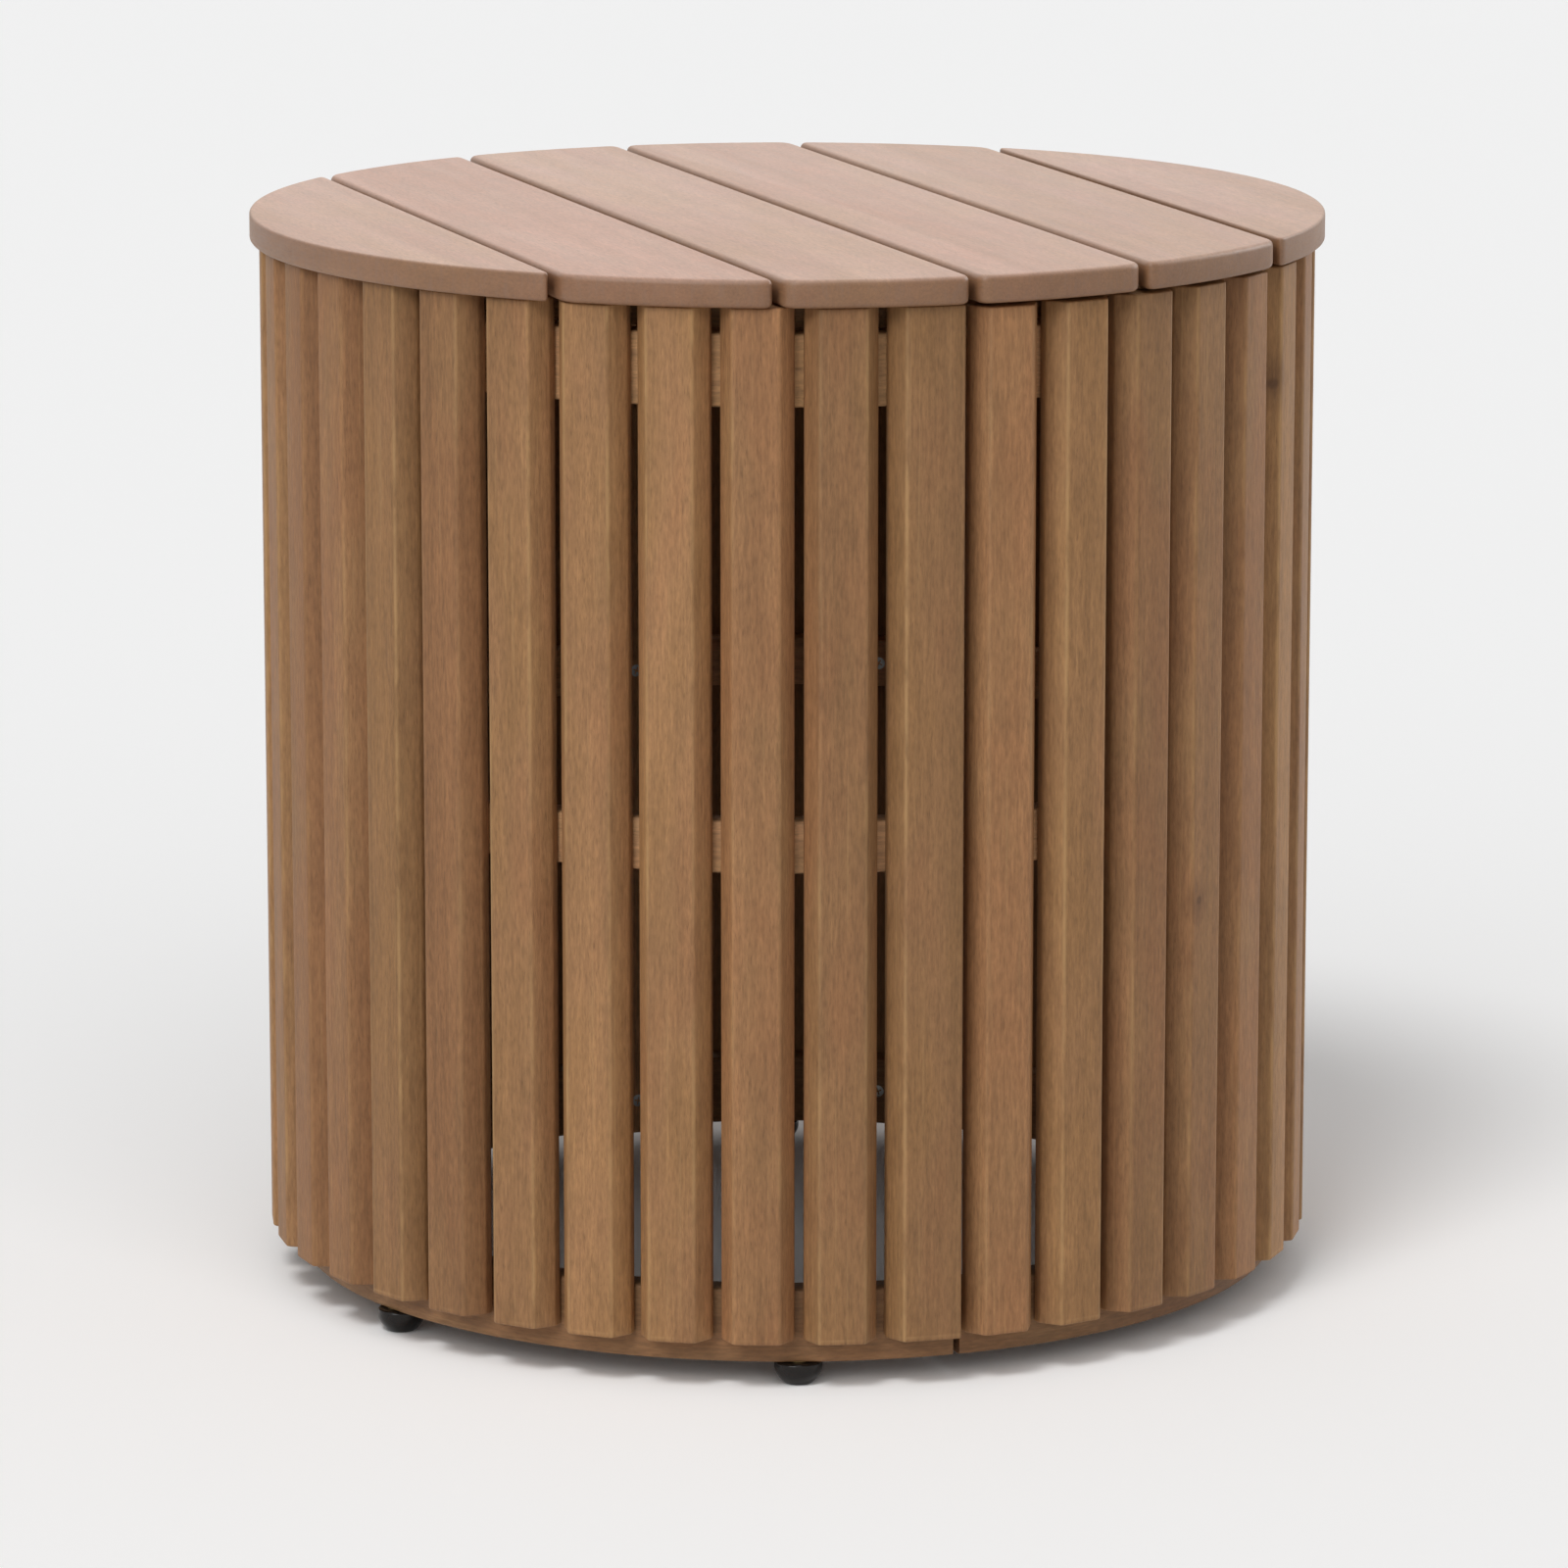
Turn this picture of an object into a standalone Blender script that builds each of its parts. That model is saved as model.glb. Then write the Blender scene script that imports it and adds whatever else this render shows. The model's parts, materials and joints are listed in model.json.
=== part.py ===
# Round slatted side table with a curved door and levelling feet.
# Metres, +Z up, origin at the centre of the footprint, front along -Y.
# A bearing is an angle in degrees about the table's axis, from the front towards +X.
import math

import bmesh
import bpy

# Driving dimensions of the whole table
HEIGHT = 0.554
TOP_DIAMETER = 0.550
TOP_OVERHANG = 0.005
SLAT_COUNT = 40
PANEL_COUNT = 4
FIT_GAP = 0.0003

# Planks of the top, which run from front to back
PLANK_COUNT = 6
PLANK_PITCH = 0.094
PLANK_GAP = 0.004
PLANK_THICKNESS = 0.014
PLANK_EDGE_RADIUS = 0.002
TOP_ARC_STEP = 5

# Slats, whose front edges carry long soft chamfers
SLAT_GAP = 0.0042
SLAT_THICKNESS = 0.0157
SLAT_CHAMFER_WIDTH = 0.0064
SLAT_CHAMFER_DEPTH = 0.0106
SLAT_CREASE_RADIUS = 0.003
SLAT_BACK_RADIUS = 0.001
SLAT_SPLIT_EDGE_RADIUS = 0.0015
SLAT_FOOT_LIFT = 0.013
DOOR_TOP_CLEARANCE = 0.0022

# Curved rails behind the slats
RAIL_THICKNESS = 0.016
RAIL_ARC_STEP = 5
TOP_RAIL_WIDTH = 0.036
MIDDLE_RAIL_WIDTH = 0.026
MIDDLE_RAIL_LIFT = 0.003
BOTTOM_RAIL_WIDTH = 0.037
BOTTOM_RAIL_FLOOR_GAP = 0.012
RACK_JOINT_DEPTH = 0.0015
DOOR_SPLIT_GAP = 0.0033
HINGE_SIDE_GAP = 0.0034

# Cleats and brackets that hold the top down
CLEAT_WIDTH = 0.0245
CLEAT_THICKNESS = 0.0144
CLEAT_ARC_STEP = 6
CLEAT_SETBACK = 0.0015
BRACKET_WIDTH = 0.020
BRACKET_THICKNESS = 0.002
BRACKET_BEND_RADIUS = 0.001
BRACKET_SHELF = 0.0235
BRACKET_DROP = 0.030
BRACKET_BEARINGS = (135, 225, 315)

# Upright battens that join the fixed panels from the inside
SCREWED_FACE_GAP = 0.0005
BATTEN_THICKNESS = 0.011
BATTEN_HALF_ANGLE = 4
BATTEN_BEARINGS = {"back": 180, "left": 270}

# Butt hinges between the last door slat and the first fixed slat
HINGE_PIN_SETBACK = 0.005
HINGE_LENGTH = 0.030
HINGE_BARREL_DIAMETER = 0.007
HINGE_BORE_DIAMETER = 0.0034
HINGE_PIN_DIAMETER = 0.003
HINGE_LEAF_THICKNESS = 0.001
HINGE_LEAF_OFFSET = 0.0004
HINGE_LEAF_INSET = 0.002
HINGE_TONGUE_SETBACK = 0.0005
KNUCKLE_COUNT = 3
PIN_HEAD_DIAMETER = 0.0054
PIN_HEAD_HEIGHT = 0.001
PIN_HEAD_CHAMFER = 0.0004

# Magnetic catch behind the door's free edge
CATCH_BODY_HEIGHT = 0.016
CATCH_FIXED_REACH = 0.018
CATCH_DOOR_REACH = 0.012
CATCH_DEPTH = 0.015
CATCH_SETBACK = 0.001
CATCH_CORNER_RADIUS = 0.002
STRIKE_WIDTH = 0.009
STRIKE_HEIGHT = 0.020
STRIKE_THICKNESS = 0.0015
STRIKE_EDGE_INSET = 0.001

# Levelling feet: a moulded pad that swivels on a threaded stem
FOOT_BEARINGS = (108, 162, 198, 252, 288, 342)
FOOT_PAD_DIAMETER = 0.024
FOOT_SOLE_DIAMETER = 0.013
FOOT_PAD_RIM_CHAMFER = 0.0015
FOOT_PAD_SHOULDERS = ((0.0240, 0.0040), (0.0218, 0.0070), (0.0166, 0.0103))
STEM_DIAMETER = 0.008
STEM_FLANGE_DIAMETER = 0.0094
STEM_FLANGE_HEIGHTS = (0.0038, 0.0082)
STEM_END_CLEARANCE = 0.0045
STEM_END_CHAMFER = 0.001
STEM_BORE_DIAMETER = 0.009
STEM_BORE_ROOF = 0.003
STEM_BORE_OVERRUN = 0.002
PAD_NECK_DIAMETER = 0.0086

# Flat faces around each turned part
PAD_STEPS = 20
STEM_STEPS = 12
BORE_STEPS = 16
BARREL_STEPS = 20
PIN_STEPS = 16

# Sizes that follow from the ones above
TOP_RADIUS = TOP_DIAMETER / 2
TOP_UNDERSIDE = HEIGHT - PLANK_THICKNESS
SLAT_FRONT_RADIUS = TOP_RADIUS - TOP_OVERHANG
SLAT_BACK_PLANE = SLAT_FRONT_RADIUS - SLAT_THICKNESS
SLAT_PITCH = 360 / SLAT_COUNT
SLAT_WIDTH = 2 * SLAT_BACK_PLANE * math.tan(math.radians(SLAT_PITCH / 2)) - SLAT_GAP
SLATS_PER_PANEL = SLAT_COUNT // PANEL_COUNT
RAIL_OUTER_RADIUS = SLAT_BACK_PLANE - FIT_GAP
RAIL_INNER_RADIUS = RAIL_OUTER_RADIUS - RAIL_THICKNESS
RAIL_CENTRE_RADIUS = RAIL_OUTER_RADIUS - RAIL_THICKNESS / 2
CLEAT_OUTER_RADIUS = RAIL_INNER_RADIUS - CLEAT_SETBACK
CLEAT_TOP = TOP_UNDERSIDE - FIT_GAP
CLEAT_UNDERSIDE = CLEAT_TOP - CLEAT_THICKNESS
TOP_RAIL_TOP = CLEAT_UNDERSIDE - FIT_GAP
TOP_RAIL_CENTRE = TOP_RAIL_TOP - TOP_RAIL_WIDTH / 2
BOTTOM_RAIL_TOP = BOTTOM_RAIL_FLOOR_GAP + BOTTOM_RAIL_WIDTH
BOTTOM_RAIL_CENTRE = BOTTOM_RAIL_TOP - BOTTOM_RAIL_WIDTH / 2
MIDDLE_RAIL_CENTRE = (TOP_RAIL_TOP - TOP_RAIL_WIDTH + BOTTOM_RAIL_TOP) / 2 + MIDDLE_RAIL_LIFT
TOP_RAIL_HEIGHTS = (TOP_RAIL_TOP - TOP_RAIL_WIDTH, TOP_RAIL_TOP)
MIDDLE_RAIL_HEIGHTS = (
    MIDDLE_RAIL_CENTRE - MIDDLE_RAIL_WIDTH / 2, MIDDLE_RAIL_CENTRE + MIDDLE_RAIL_WIDTH / 2
)
BOTTOM_RAIL_HEIGHTS = (BOTTOM_RAIL_FLOOR_GAP, BOTTOM_RAIL_TOP)
SLAT_FOOT_HEIGHT = BOTTOM_RAIL_FLOOR_GAP + SLAT_FOOT_LIFT
FITTING_OUTER_RADIUS = RAIL_INNER_RADIUS - SCREWED_FACE_GAP
PANEL_ANGLE = 360 / PANEL_COUNT
HINGE_PIN_PLACE = SLAT_FRONT_RADIUS - HINGE_PIN_SETBACK
HINGE_LEAF_INNER_RADIUS = RAIL_INNER_RADIUS + HINGE_LEAF_INSET
HINGE_CENTRES = {"lower": BOTTOM_RAIL_CENTRE, "upper": TOP_RAIL_CENTRE}
CATCH_FACE_RADIUS = RAIL_INNER_RADIUS - CATCH_SETBACK
CATCH_HEIGHT = TOP_RAIL_CENTRE
FOOT_PAD_HEIGHT = BOTTOM_RAIL_FLOOR_GAP - FIT_GAP
STEM_BORE_TOP_HEIGHT = BOTTOM_RAIL_TOP - STEM_BORE_ROOF
STEM_TOP_HEIGHT = STEM_BORE_TOP_HEIGHT - STEM_END_CLEARANCE


def clear_scene():
    for old in list(bpy.data.objects):
        bpy.data.objects.remove(old, do_unlink=True)


def new_collection(name):
    collection = bpy.data.collections.new(name)
    bpy.context.scene.collection.children.link(collection)
    return collection


def new_material(name, colour, roughness, metallic=0.0):
    material = bpy.data.materials.new(name)
    material.use_nodes = True
    shader = material.node_tree.nodes["Principled BSDF"]
    shader.inputs["Base Color"].default_value = (*colour, 1.0)
    shader.inputs["Roughness"].default_value = roughness
    shader.inputs["Metallic"].default_value = metallic
    return material


def on_circle(radius, bearing):
    angle = math.radians(bearing)
    return radius * math.sin(angle), -radius * math.cos(angle)


def arc_points(radius, start, end, step):
    # Points along a circle about the table's axis, both ends included.
    count = max(1, math.ceil(abs(end - start) / step - 1e-6))
    return [on_circle(radius, start + (end - start) * i / count) for i in range(count + 1)]


def rounded_outline(corners, turn_step=30):
    # Turns each corner (x, y, radius) of an anticlockwise outline into an arc.
    outline = []
    for i, (x, y, radius) in enumerate(corners):
        before = corners[i - 1]
        after = corners[(i + 1) % len(corners)]
        angle_in = math.atan2(y - before[1], x - before[0])
        angle_out = math.atan2(after[1] - y, after[0] - x)
        turn = math.remainder(angle_out - angle_in, math.tau)
        if radius <= 0:
            outline.append((x, y))
            continue
        setback = radius * math.tan(abs(turn) / 2)
        side = math.copysign(1, turn)
        start_x = x - setback * math.cos(angle_in)
        start_y = y - setback * math.sin(angle_in)
        centre_x = start_x - side * radius * math.sin(angle_in)
        centre_y = start_y + side * radius * math.cos(angle_in)
        steps = max(1, round(math.degrees(abs(turn)) / turn_step))
        for k in range(steps + 1):
            angle = angle_in + turn * k / steps
            outline.append((
                centre_x + side * radius * math.sin(angle),
                centre_y - side * radius * math.cos(angle),
            ))
    return outline


def finish(item, material, collection):
    item.data.materials.clear()
    item.data.materials.append(material)
    collection.objects.link(item)
    return item


def as_mesh_object(curve_item):
    # Swaps a filled curve for a closed mesh object in the same place.
    bpy.context.scene.collection.objects.link(curve_item)
    bpy.context.view_layer.update()
    depsgraph = bpy.context.evaluated_depsgraph_get()
    mesh = bpy.data.meshes.new_from_object(curve_item.evaluated_get(depsgraph))
    body = bmesh.new()
    body.from_mesh(mesh)
    bmesh.ops.remove_doubles(body, verts=body.verts, dist=1e-6)
    bmesh.ops.dissolve_limit(body, angle_limit=math.radians(0.5), verts=body.verts, edges=body.edges)
    bmesh.ops.recalc_face_normals(body, faces=body.faces)
    body.to_mesh(mesh)
    body.free()
    name = curve_item.name
    placed = curve_item.matrix_world.copy()
    bpy.data.objects.remove(curve_item, do_unlink=True)
    item = bpy.data.objects.new(name, mesh)
    item.matrix_world = placed
    return item


def extruded(name, outline, low, high):
    # Upright prism on a flat outline, as a 2D curve filled on both sides.
    curve = bpy.data.curves.new(name, "CURVE")
    curve.dimensions = "2D"
    curve.fill_mode = "BOTH"
    curve.extrude = (high - low) / 2
    spline = curve.splines.new("POLY")
    spline.points.add(len(outline) - 1)
    for point, (x, y) in zip(spline.points, outline):
        point.co = (x, y, 0.0, 1.0)
    spline.use_cyclic_u = True
    item = bpy.data.objects.new(name, curve)
    item.location.z = (low + high) / 2
    return as_mesh_object(item)


def turned(name, profile, steps):
    # Solid of revolution; the profile runs down its outer side from the axis to the axis.
    mesh = bpy.data.meshes.new(name)
    edges = [(i, i + 1) for i in range(len(profile) - 1)]
    mesh.from_pydata([(radius, 0.0, height) for radius, height in profile], edges, [])
    item = bpy.data.objects.new(name, mesh)
    screw = item.modifiers.new("Turn", "SCREW")
    screw.axis = "Z"
    screw.angle = math.tau
    screw.steps = steps
    screw.render_steps = steps
    screw.use_merge_vertices = True
    screw.merge_threshold = 0.00001
    screw.use_smooth_shade = True
    return item


def soften(item, width, segments):
    bevel = item.modifiers.new("Eased edges", "BEVEL")
    bevel.width = width
    bevel.segments = segments
    bevel.limit_method = "ANGLE"
    bevel.angle_limit = math.radians(40)
    return item


def combine(item, other, operation, cutters):
    # Joins or cuts with another object, which is kept as a guide among the cutters.
    cutters.objects.link(other)
    other.hide_render = True
    other.display_type = "WIRE"
    boolean = item.modifiers.new(operation.title(), "BOOLEAN")
    boolean.operation = operation
    boolean.solver = "EXACT"
    boolean.object = other
    return item


def turn_to(item, bearing):
    # Turns an object modelled at the front to its own bearing.
    item.rotation_euler.z = math.radians(bearing)
    return item


def plank_outline(x_min, x_max):
    # Slice of the round top between two straight cuts along Y.
    start = math.degrees(math.asin(max(-1.0, x_min / TOP_RADIUS)))
    end = math.degrees(math.asin(min(1.0, x_max / TOP_RADIUS)))
    near = arc_points(TOP_RADIUS, start, end, TOP_ARC_STEP)
    far = [(x, -y) for x, y in reversed(near)]
    if x_max >= TOP_RADIUS:
        far = far[1:]
    if x_min <= -TOP_RADIUS:
        far = far[:-1]
    return near + far


def make_planks(wood, parts):
    for i in range(PLANK_COUNT):
        left_cut = (i - PLANK_COUNT / 2) * PLANK_PITCH + PLANK_GAP / 2
        right_cut = (i + 1 - PLANK_COUNT / 2) * PLANK_PITCH - PLANK_GAP / 2
        x_min = -TOP_RADIUS if i == 0 else left_cut
        x_max = TOP_RADIUS if i == PLANK_COUNT - 1 else right_cut
        plank = extruded(f"top_plank_{i + 1}", plank_outline(x_min, x_max), TOP_UNDERSIDE, HEIGHT)
        soften(plank, PLANK_EDGE_RADIUS, 2)
        finish(plank, wood, parts)


def slat_section(square_side=0):
    # Plan section of a slat at the front; square_side is 1 or -1 where an edge stays square.
    half = SLAT_WIDTH / 2
    flat = half - SLAT_CHAMFER_WIDTH
    front = -SLAT_FRONT_RADIUS
    back = -SLAT_BACK_PLANE
    shoulder = front + SLAT_CHAMFER_DEPTH
    left = [(-half, back, SLAT_BACK_RADIUS)]
    right = [(half, back, SLAT_BACK_RADIUS)]
    if square_side < 0:
        left.append((-half, front, SLAT_SPLIT_EDGE_RADIUS))
    else:
        left.append((-half, shoulder, SLAT_CREASE_RADIUS))
        left.append((-flat, front, SLAT_CREASE_RADIUS))
    if square_side > 0:
        right.insert(0, (half, front, SLAT_SPLIT_EDGE_RADIUS))
    else:
        right.insert(0, (half, shoulder, SLAT_CREASE_RADIUS))
        right.insert(0, (flat, front, SLAT_CREASE_RADIUS))
    return rounded_outline(left + right)


def make_slat(name, bearing, top, square_side=0):
    slat = extruded(name, slat_section(square_side), SLAT_FOOT_HEIGHT, top)
    return turn_to(slat, bearing)


def ring_sector(name, inner, outer, start, end, heights, step, start_gap=0.0, end_gap=0.0):
    # Curved bar about the table's axis, with its ends held back by half of each gap.
    middle = (inner + outer) / 2
    start += math.degrees(start_gap / 2 / middle)
    end -= math.degrees(end_gap / 2 / middle)
    outline = arc_points(outer, start, end, step) + arc_points(inner, end, start, step)
    return extruded(name, outline, *heights)


def rail(name, start, end, heights, gaps, outer=RAIL_OUTER_RADIUS):
    return ring_sector(
        name, RAIL_INNER_RADIUS, outer, start, end, heights, RAIL_ARC_STEP, gaps[0], gaps[1]
    )


def make_fixed_panel(name, start, gaps, wood, parts, cutters):
    # Quarter of the wall that stays put: two rails and a rack of slats on the middle rail.
    end = start + PANEL_ANGLE
    finish(rail(f"{name}_top_rail", start, end, TOP_RAIL_HEIGHTS, gaps), wood["rail"], parts)

    bottom = rail(f"{name}_bottom_rail", start, end, BOTTOM_RAIL_HEIGHTS, gaps)
    for bearing in FOOT_BEARINGS:
        if start < bearing < end:
            combine(bottom, stem_bore(bearing), "DIFFERENCE", cutters)
    finish(bottom, wood["rail"], parts)

    rack_outer = SLAT_BACK_PLANE + RACK_JOINT_DEPTH
    rack = rail(f"{name}_slat_rack", start, end, MIDDLE_RAIL_HEIGHTS, gaps, rack_outer)
    slats = []
    for i in range(SLATS_PER_PANEL):
        bearing = start + SLAT_PITCH * (i + 0.5)
        beside_door = math.isclose(bearing + SLAT_PITCH / 2, 360)
        square_side = 1 if beside_door else 0
        top = TOP_UNDERSIDE - FIT_GAP
        slats.append(make_slat(f"{name}_slat_guide", bearing, top, square_side))
    combine(rack, joined_objects(slats), "UNION", cutters)
    finish(rack, wood["slat"], parts)


def joined_objects(items):
    # One object that holds several separate bodies, for a single Boolean.
    body = bmesh.new()
    for item in items:
        item.data.transform(item.matrix_basis)
        body.from_mesh(item.data)
    mesh = bpy.data.meshes.new(items[0].name)
    body.to_mesh(mesh)
    body.free()
    name = items[0].name
    for item in items:
        bpy.data.objects.remove(item, do_unlink=True)
    return bpy.data.objects.new(name, mesh)


def stem_bore(bearing):
    # Blind hole for a foot's stem, open at the rail's underside.
    mouth = BOTTOM_RAIL_HEIGHTS[0] - STEM_BORE_OVERRUN
    depth = STEM_BORE_TOP_HEIGHT - mouth
    mesh = bpy.data.meshes.new("stem_bore")
    body = bmesh.new()
    radius = STEM_BORE_DIAMETER / 2
    bmesh.ops.create_cone(
        body, cap_ends=True, segments=BORE_STEPS, radius1=radius, radius2=radius, depth=depth
    )
    body.to_mesh(mesh)
    body.free()
    item = bpy.data.objects.new("stem_bore", mesh)
    item.location = (*on_circle(RAIL_CENTRE_RADIUS, bearing), mouth + depth / 2)
    return item


def make_door(wood, parts, hinge):
    gaps = (DOOR_SPLIT_GAP, HINGE_SIDE_GAP)
    rails = {
        "door_top_rail": TOP_RAIL_HEIGHTS,
        "door_middle_rail": MIDDLE_RAIL_HEIGHTS,
        "door_bottom_rail": BOTTOM_RAIL_HEIGHTS,
    }
    for name, heights in rails.items():
        hang(finish(rail(name, 0, PANEL_ANGLE, heights, gaps), wood["rail"], parts), hinge)
    top = TOP_UNDERSIDE - DOOR_TOP_CLEARANCE
    for i in range(SLATS_PER_PANEL):
        bearing = SLAT_PITCH * (i + 0.5)
        slat = make_slat(f"door_slat_{i + 1:02d}", bearing, top)
        hang(finish(slat, wood["slat"], parts), hinge)


def hang(item, hinge):
    # Parents a piece of the door to its hinge axis without moving it.
    item.parent = hinge
    item.matrix_parent_inverse = hinge.matrix_basis.inverted()
    return item


def make_cleats(wood, parts):
    # Ring of curved cleats under the planks, in four lengths.
    for i in range(PANEL_COUNT):
        start = PANEL_ANGLE * i
        cleat = ring_sector(
            f"top_cleat_{i + 1}", CLEAT_OUTER_RADIUS - CLEAT_WIDTH, CLEAT_OUTER_RADIUS,
            start, start + PANEL_ANGLE, (CLEAT_UNDERSIDE, CLEAT_TOP), CLEAT_ARC_STEP,
            2 * FIT_GAP, 2 * FIT_GAP,
        )
        finish(cleat, wood, parts)


def make_brackets(steel, parts):
    # Angle brackets: one leg under a cleat, one down the inside of the top rail.
    top = CLEAT_UNDERSIDE - FIT_GAP
    outer = -FITTING_OUTER_RADIUS
    corners = [
        (outer, top, 0),
        (outer, top - BRACKET_DROP, 0),
        (outer + BRACKET_THICKNESS, top - BRACKET_DROP, 0),
        (outer + BRACKET_THICKNESS, top - BRACKET_THICKNESS, BRACKET_BEND_RADIUS),
        (outer + BRACKET_SHELF, top - BRACKET_THICKNESS, 0),
        (outer + BRACKET_SHELF, top, 0),
    ]
    half = BRACKET_WIDTH / 2
    for i, bearing in enumerate(BRACKET_BEARINGS):
        bracket = extruded(f"top_bracket_{i + 1}", rounded_outline(corners), -half, half)
        # The outline's x becomes the radius towards the front and its y the height.
        bracket.rotation_mode = "XYZ"
        bracket.rotation_euler = (math.pi / 2, 0, math.pi / 2 + math.radians(bearing))
        finish(bracket, steel, parts)


def make_battens(wood, parts):
    # Each stands across a joint between two panels, from the bottom rails to the cleats.
    heights = (BOTTOM_RAIL_HEIGHTS[0], CLEAT_UNDERSIDE - FIT_GAP)
    for place, bearing in BATTEN_BEARINGS.items():
        batten = ring_sector(
            f"{place}_joining_batten", FITTING_OUTER_RADIUS - BATTEN_THICKNESS, FITTING_OUTER_RADIUS,
            bearing - BATTEN_HALF_ANGLE, bearing + BATTEN_HALF_ANGLE, heights, BATTEN_HALF_ANGLE,
        )
        finish(batten, wood, parts)


def knuckle(name, low, high):
    # Tube of the hinge's barrel around the pin.
    inner = HINGE_BORE_DIAMETER / 2
    outer = HINGE_BARREL_DIAMETER / 2
    profile = [(outer, high), (outer, low), (inner, low), (inner, high), (outer, high)]
    return turned(name, profile, BARREL_STEPS)


def hinge_leaf(name, side, levels, low, high, cutters):
    # Flat leaf in the joint at the hinge bearing, joined to its knuckles; side 1 is the fixed one.
    near = side * HINGE_LEAF_OFFSET
    far = side * (HINGE_LEAF_OFFSET + HINGE_LEAF_THICKNESS)
    reach = HINGE_PIN_PLACE - HINGE_BORE_DIAMETER / 2 - HINGE_TONGUE_SETBACK
    notch = HINGE_PIN_PLACE - HINGE_BARREL_DIAMETER / 2 - FIT_GAP
    # Outline in radius and height: full height inside, tongues only at this leaf's knuckles.
    outline = [(HINGE_LEAF_INNER_RADIUS, high), (HINGE_LEAF_INNER_RADIUS, low), (notch, low)]
    for knuckle_low, knuckle_high in levels:
        outline += [
            (notch, knuckle_low), (reach, knuckle_low), (reach, knuckle_high), (notch, knuckle_high)
        ]
    outline.append((notch, high))
    tidy = [point for i, point in enumerate(outline) if point != outline[i - 1]]
    leaf = extruded(name, tidy, -HINGE_LEAF_THICKNESS / 2, HINGE_LEAF_THICKNESS / 2)
    leaf.rotation_euler = (math.pi / 2, 0, 0)
    leaf.location = (0, (near + far) / 2, 0)
    for i, (knuckle_low, knuckle_high) in enumerate(levels):
        tube = knuckle(f"{name}_knuckle_{i + 1}", knuckle_low, knuckle_high)
        tube.location = (HINGE_PIN_PLACE, 0, 0)
        combine(leaf, tube, "UNION", cutters)
    return leaf


def make_hinges(brass, parts, cutters, hinge):
    for place, centre in HINGE_CENTRES.items():
        low = centre - HINGE_LENGTH / 2
        pitch = HINGE_LENGTH / KNUCKLE_COUNT
        levels = []
        for i in range(KNUCKLE_COUNT):
            trim_low = FIT_GAP / 2 if i > 0 else 0
            trim_high = FIT_GAP / 2 if i < KNUCKLE_COUNT - 1 else 0
            levels.append((low + i * pitch + trim_low, low + (i + 1) * pitch - trim_high))
        high = low + HINGE_LENGTH
        fixed = hinge_leaf(f"{place}_hinge_fixed_leaf", 1, levels[0::2], low, high, cutters)
        finish(fixed, brass, parts)
        moving = hinge_leaf(f"{place}_hinge_door_leaf", -1, levels[1::2], low, high, cutters)
        hang(finish(moving, brass, parts), hinge)
        pin = turned(f"{place}_hinge_pin", pin_profile(low, high), PIN_STEPS)
        pin.location = (HINGE_PIN_PLACE, 0, 0)
        finish(pin, brass, parts)


def pin_profile(low, high):
    # Straight pin with a thin head that rests on the barrel.
    shank = HINGE_PIN_DIAMETER / 2
    head = PIN_HEAD_DIAMETER / 2
    seat = high + FIT_GAP
    crown = seat + PIN_HEAD_HEIGHT
    return [
        (0, crown), (head - PIN_HEAD_CHAMFER, crown), (head, crown - PIN_HEAD_CHAMFER),
        (head, seat), (shank, seat), (shank, low), (0, low),
    ]


def make_catch(plastic, steel, parts, hinge):
    # Magnet housing on the fixed rail, reaching behind the door's free edge.
    low = CATCH_HEIGHT - CATCH_BODY_HEIGHT / 2
    strike_back = -CATCH_FACE_RADIUS - FIT_GAP + STRIKE_THICKNESS
    door_face = strike_back + FIT_GAP
    inside = -CATCH_FACE_RADIUS + CATCH_DEPTH
    corners = [
        (-CATCH_FIXED_REACH, -CATCH_FACE_RADIUS, 0),
        (-DOOR_SPLIT_GAP / 2, -CATCH_FACE_RADIUS, 0),
        (-DOOR_SPLIT_GAP / 2, door_face, 0),
        (CATCH_DOOR_REACH, door_face, 0),
        (CATCH_DOOR_REACH, inside, CATCH_CORNER_RADIUS),
        (-CATCH_FIXED_REACH, inside, CATCH_CORNER_RADIUS),
    ]
    housing = extruded("magnet_catch", rounded_outline(corners), low, low + CATCH_BODY_HEIGHT)
    finish(housing, plastic, parts)

    start = DOOR_SPLIT_GAP / 2 + STRIKE_EDGE_INSET
    plate = [
        (start, strike_back - STRIKE_THICKNESS, 0),
        (start + STRIKE_WIDTH, strike_back - STRIKE_THICKNESS, 0),
        (start + STRIKE_WIDTH, strike_back, 0),
        (start, strike_back, 0),
    ]
    strike_low = CATCH_HEIGHT - STRIKE_HEIGHT / 2
    strike = extruded("strike_plate", rounded_outline(plate), strike_low, strike_low + STRIKE_HEIGHT)
    hang(finish(strike, steel, parts), hinge)


def pad_profile():
    # Outer side, sole, then the socket that holds the stem's flange, back to the neck.
    rim = FOOT_PAD_DIAMETER / 2
    sole = FOOT_SOLE_DIAMETER / 2
    socket = STEM_FLANGE_DIAMETER / 2 + FIT_GAP
    neck = PAD_NECK_DIAMETER / 2
    socket_low = STEM_FLANGE_HEIGHTS[0] - FIT_GAP
    socket_high = STEM_FLANGE_HEIGHTS[1] + FIT_GAP
    top = FOOT_PAD_HEIGHT
    outer = [(neck, top), (rim - FOOT_PAD_RIM_CHAMFER, top), (rim, top - FOOT_PAD_RIM_CHAMFER)]
    outer += [(diameter / 2, top - depth) for diameter, depth in FOOT_PAD_SHOULDERS]
    outer += [(sole, 0.0), (0.0, 0.0)]
    inner = [
        (0.0, socket_low), (socket, socket_low), (socket, socket_high), (neck, socket_high), (neck, top)
    ]
    return outer + inner


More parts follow.
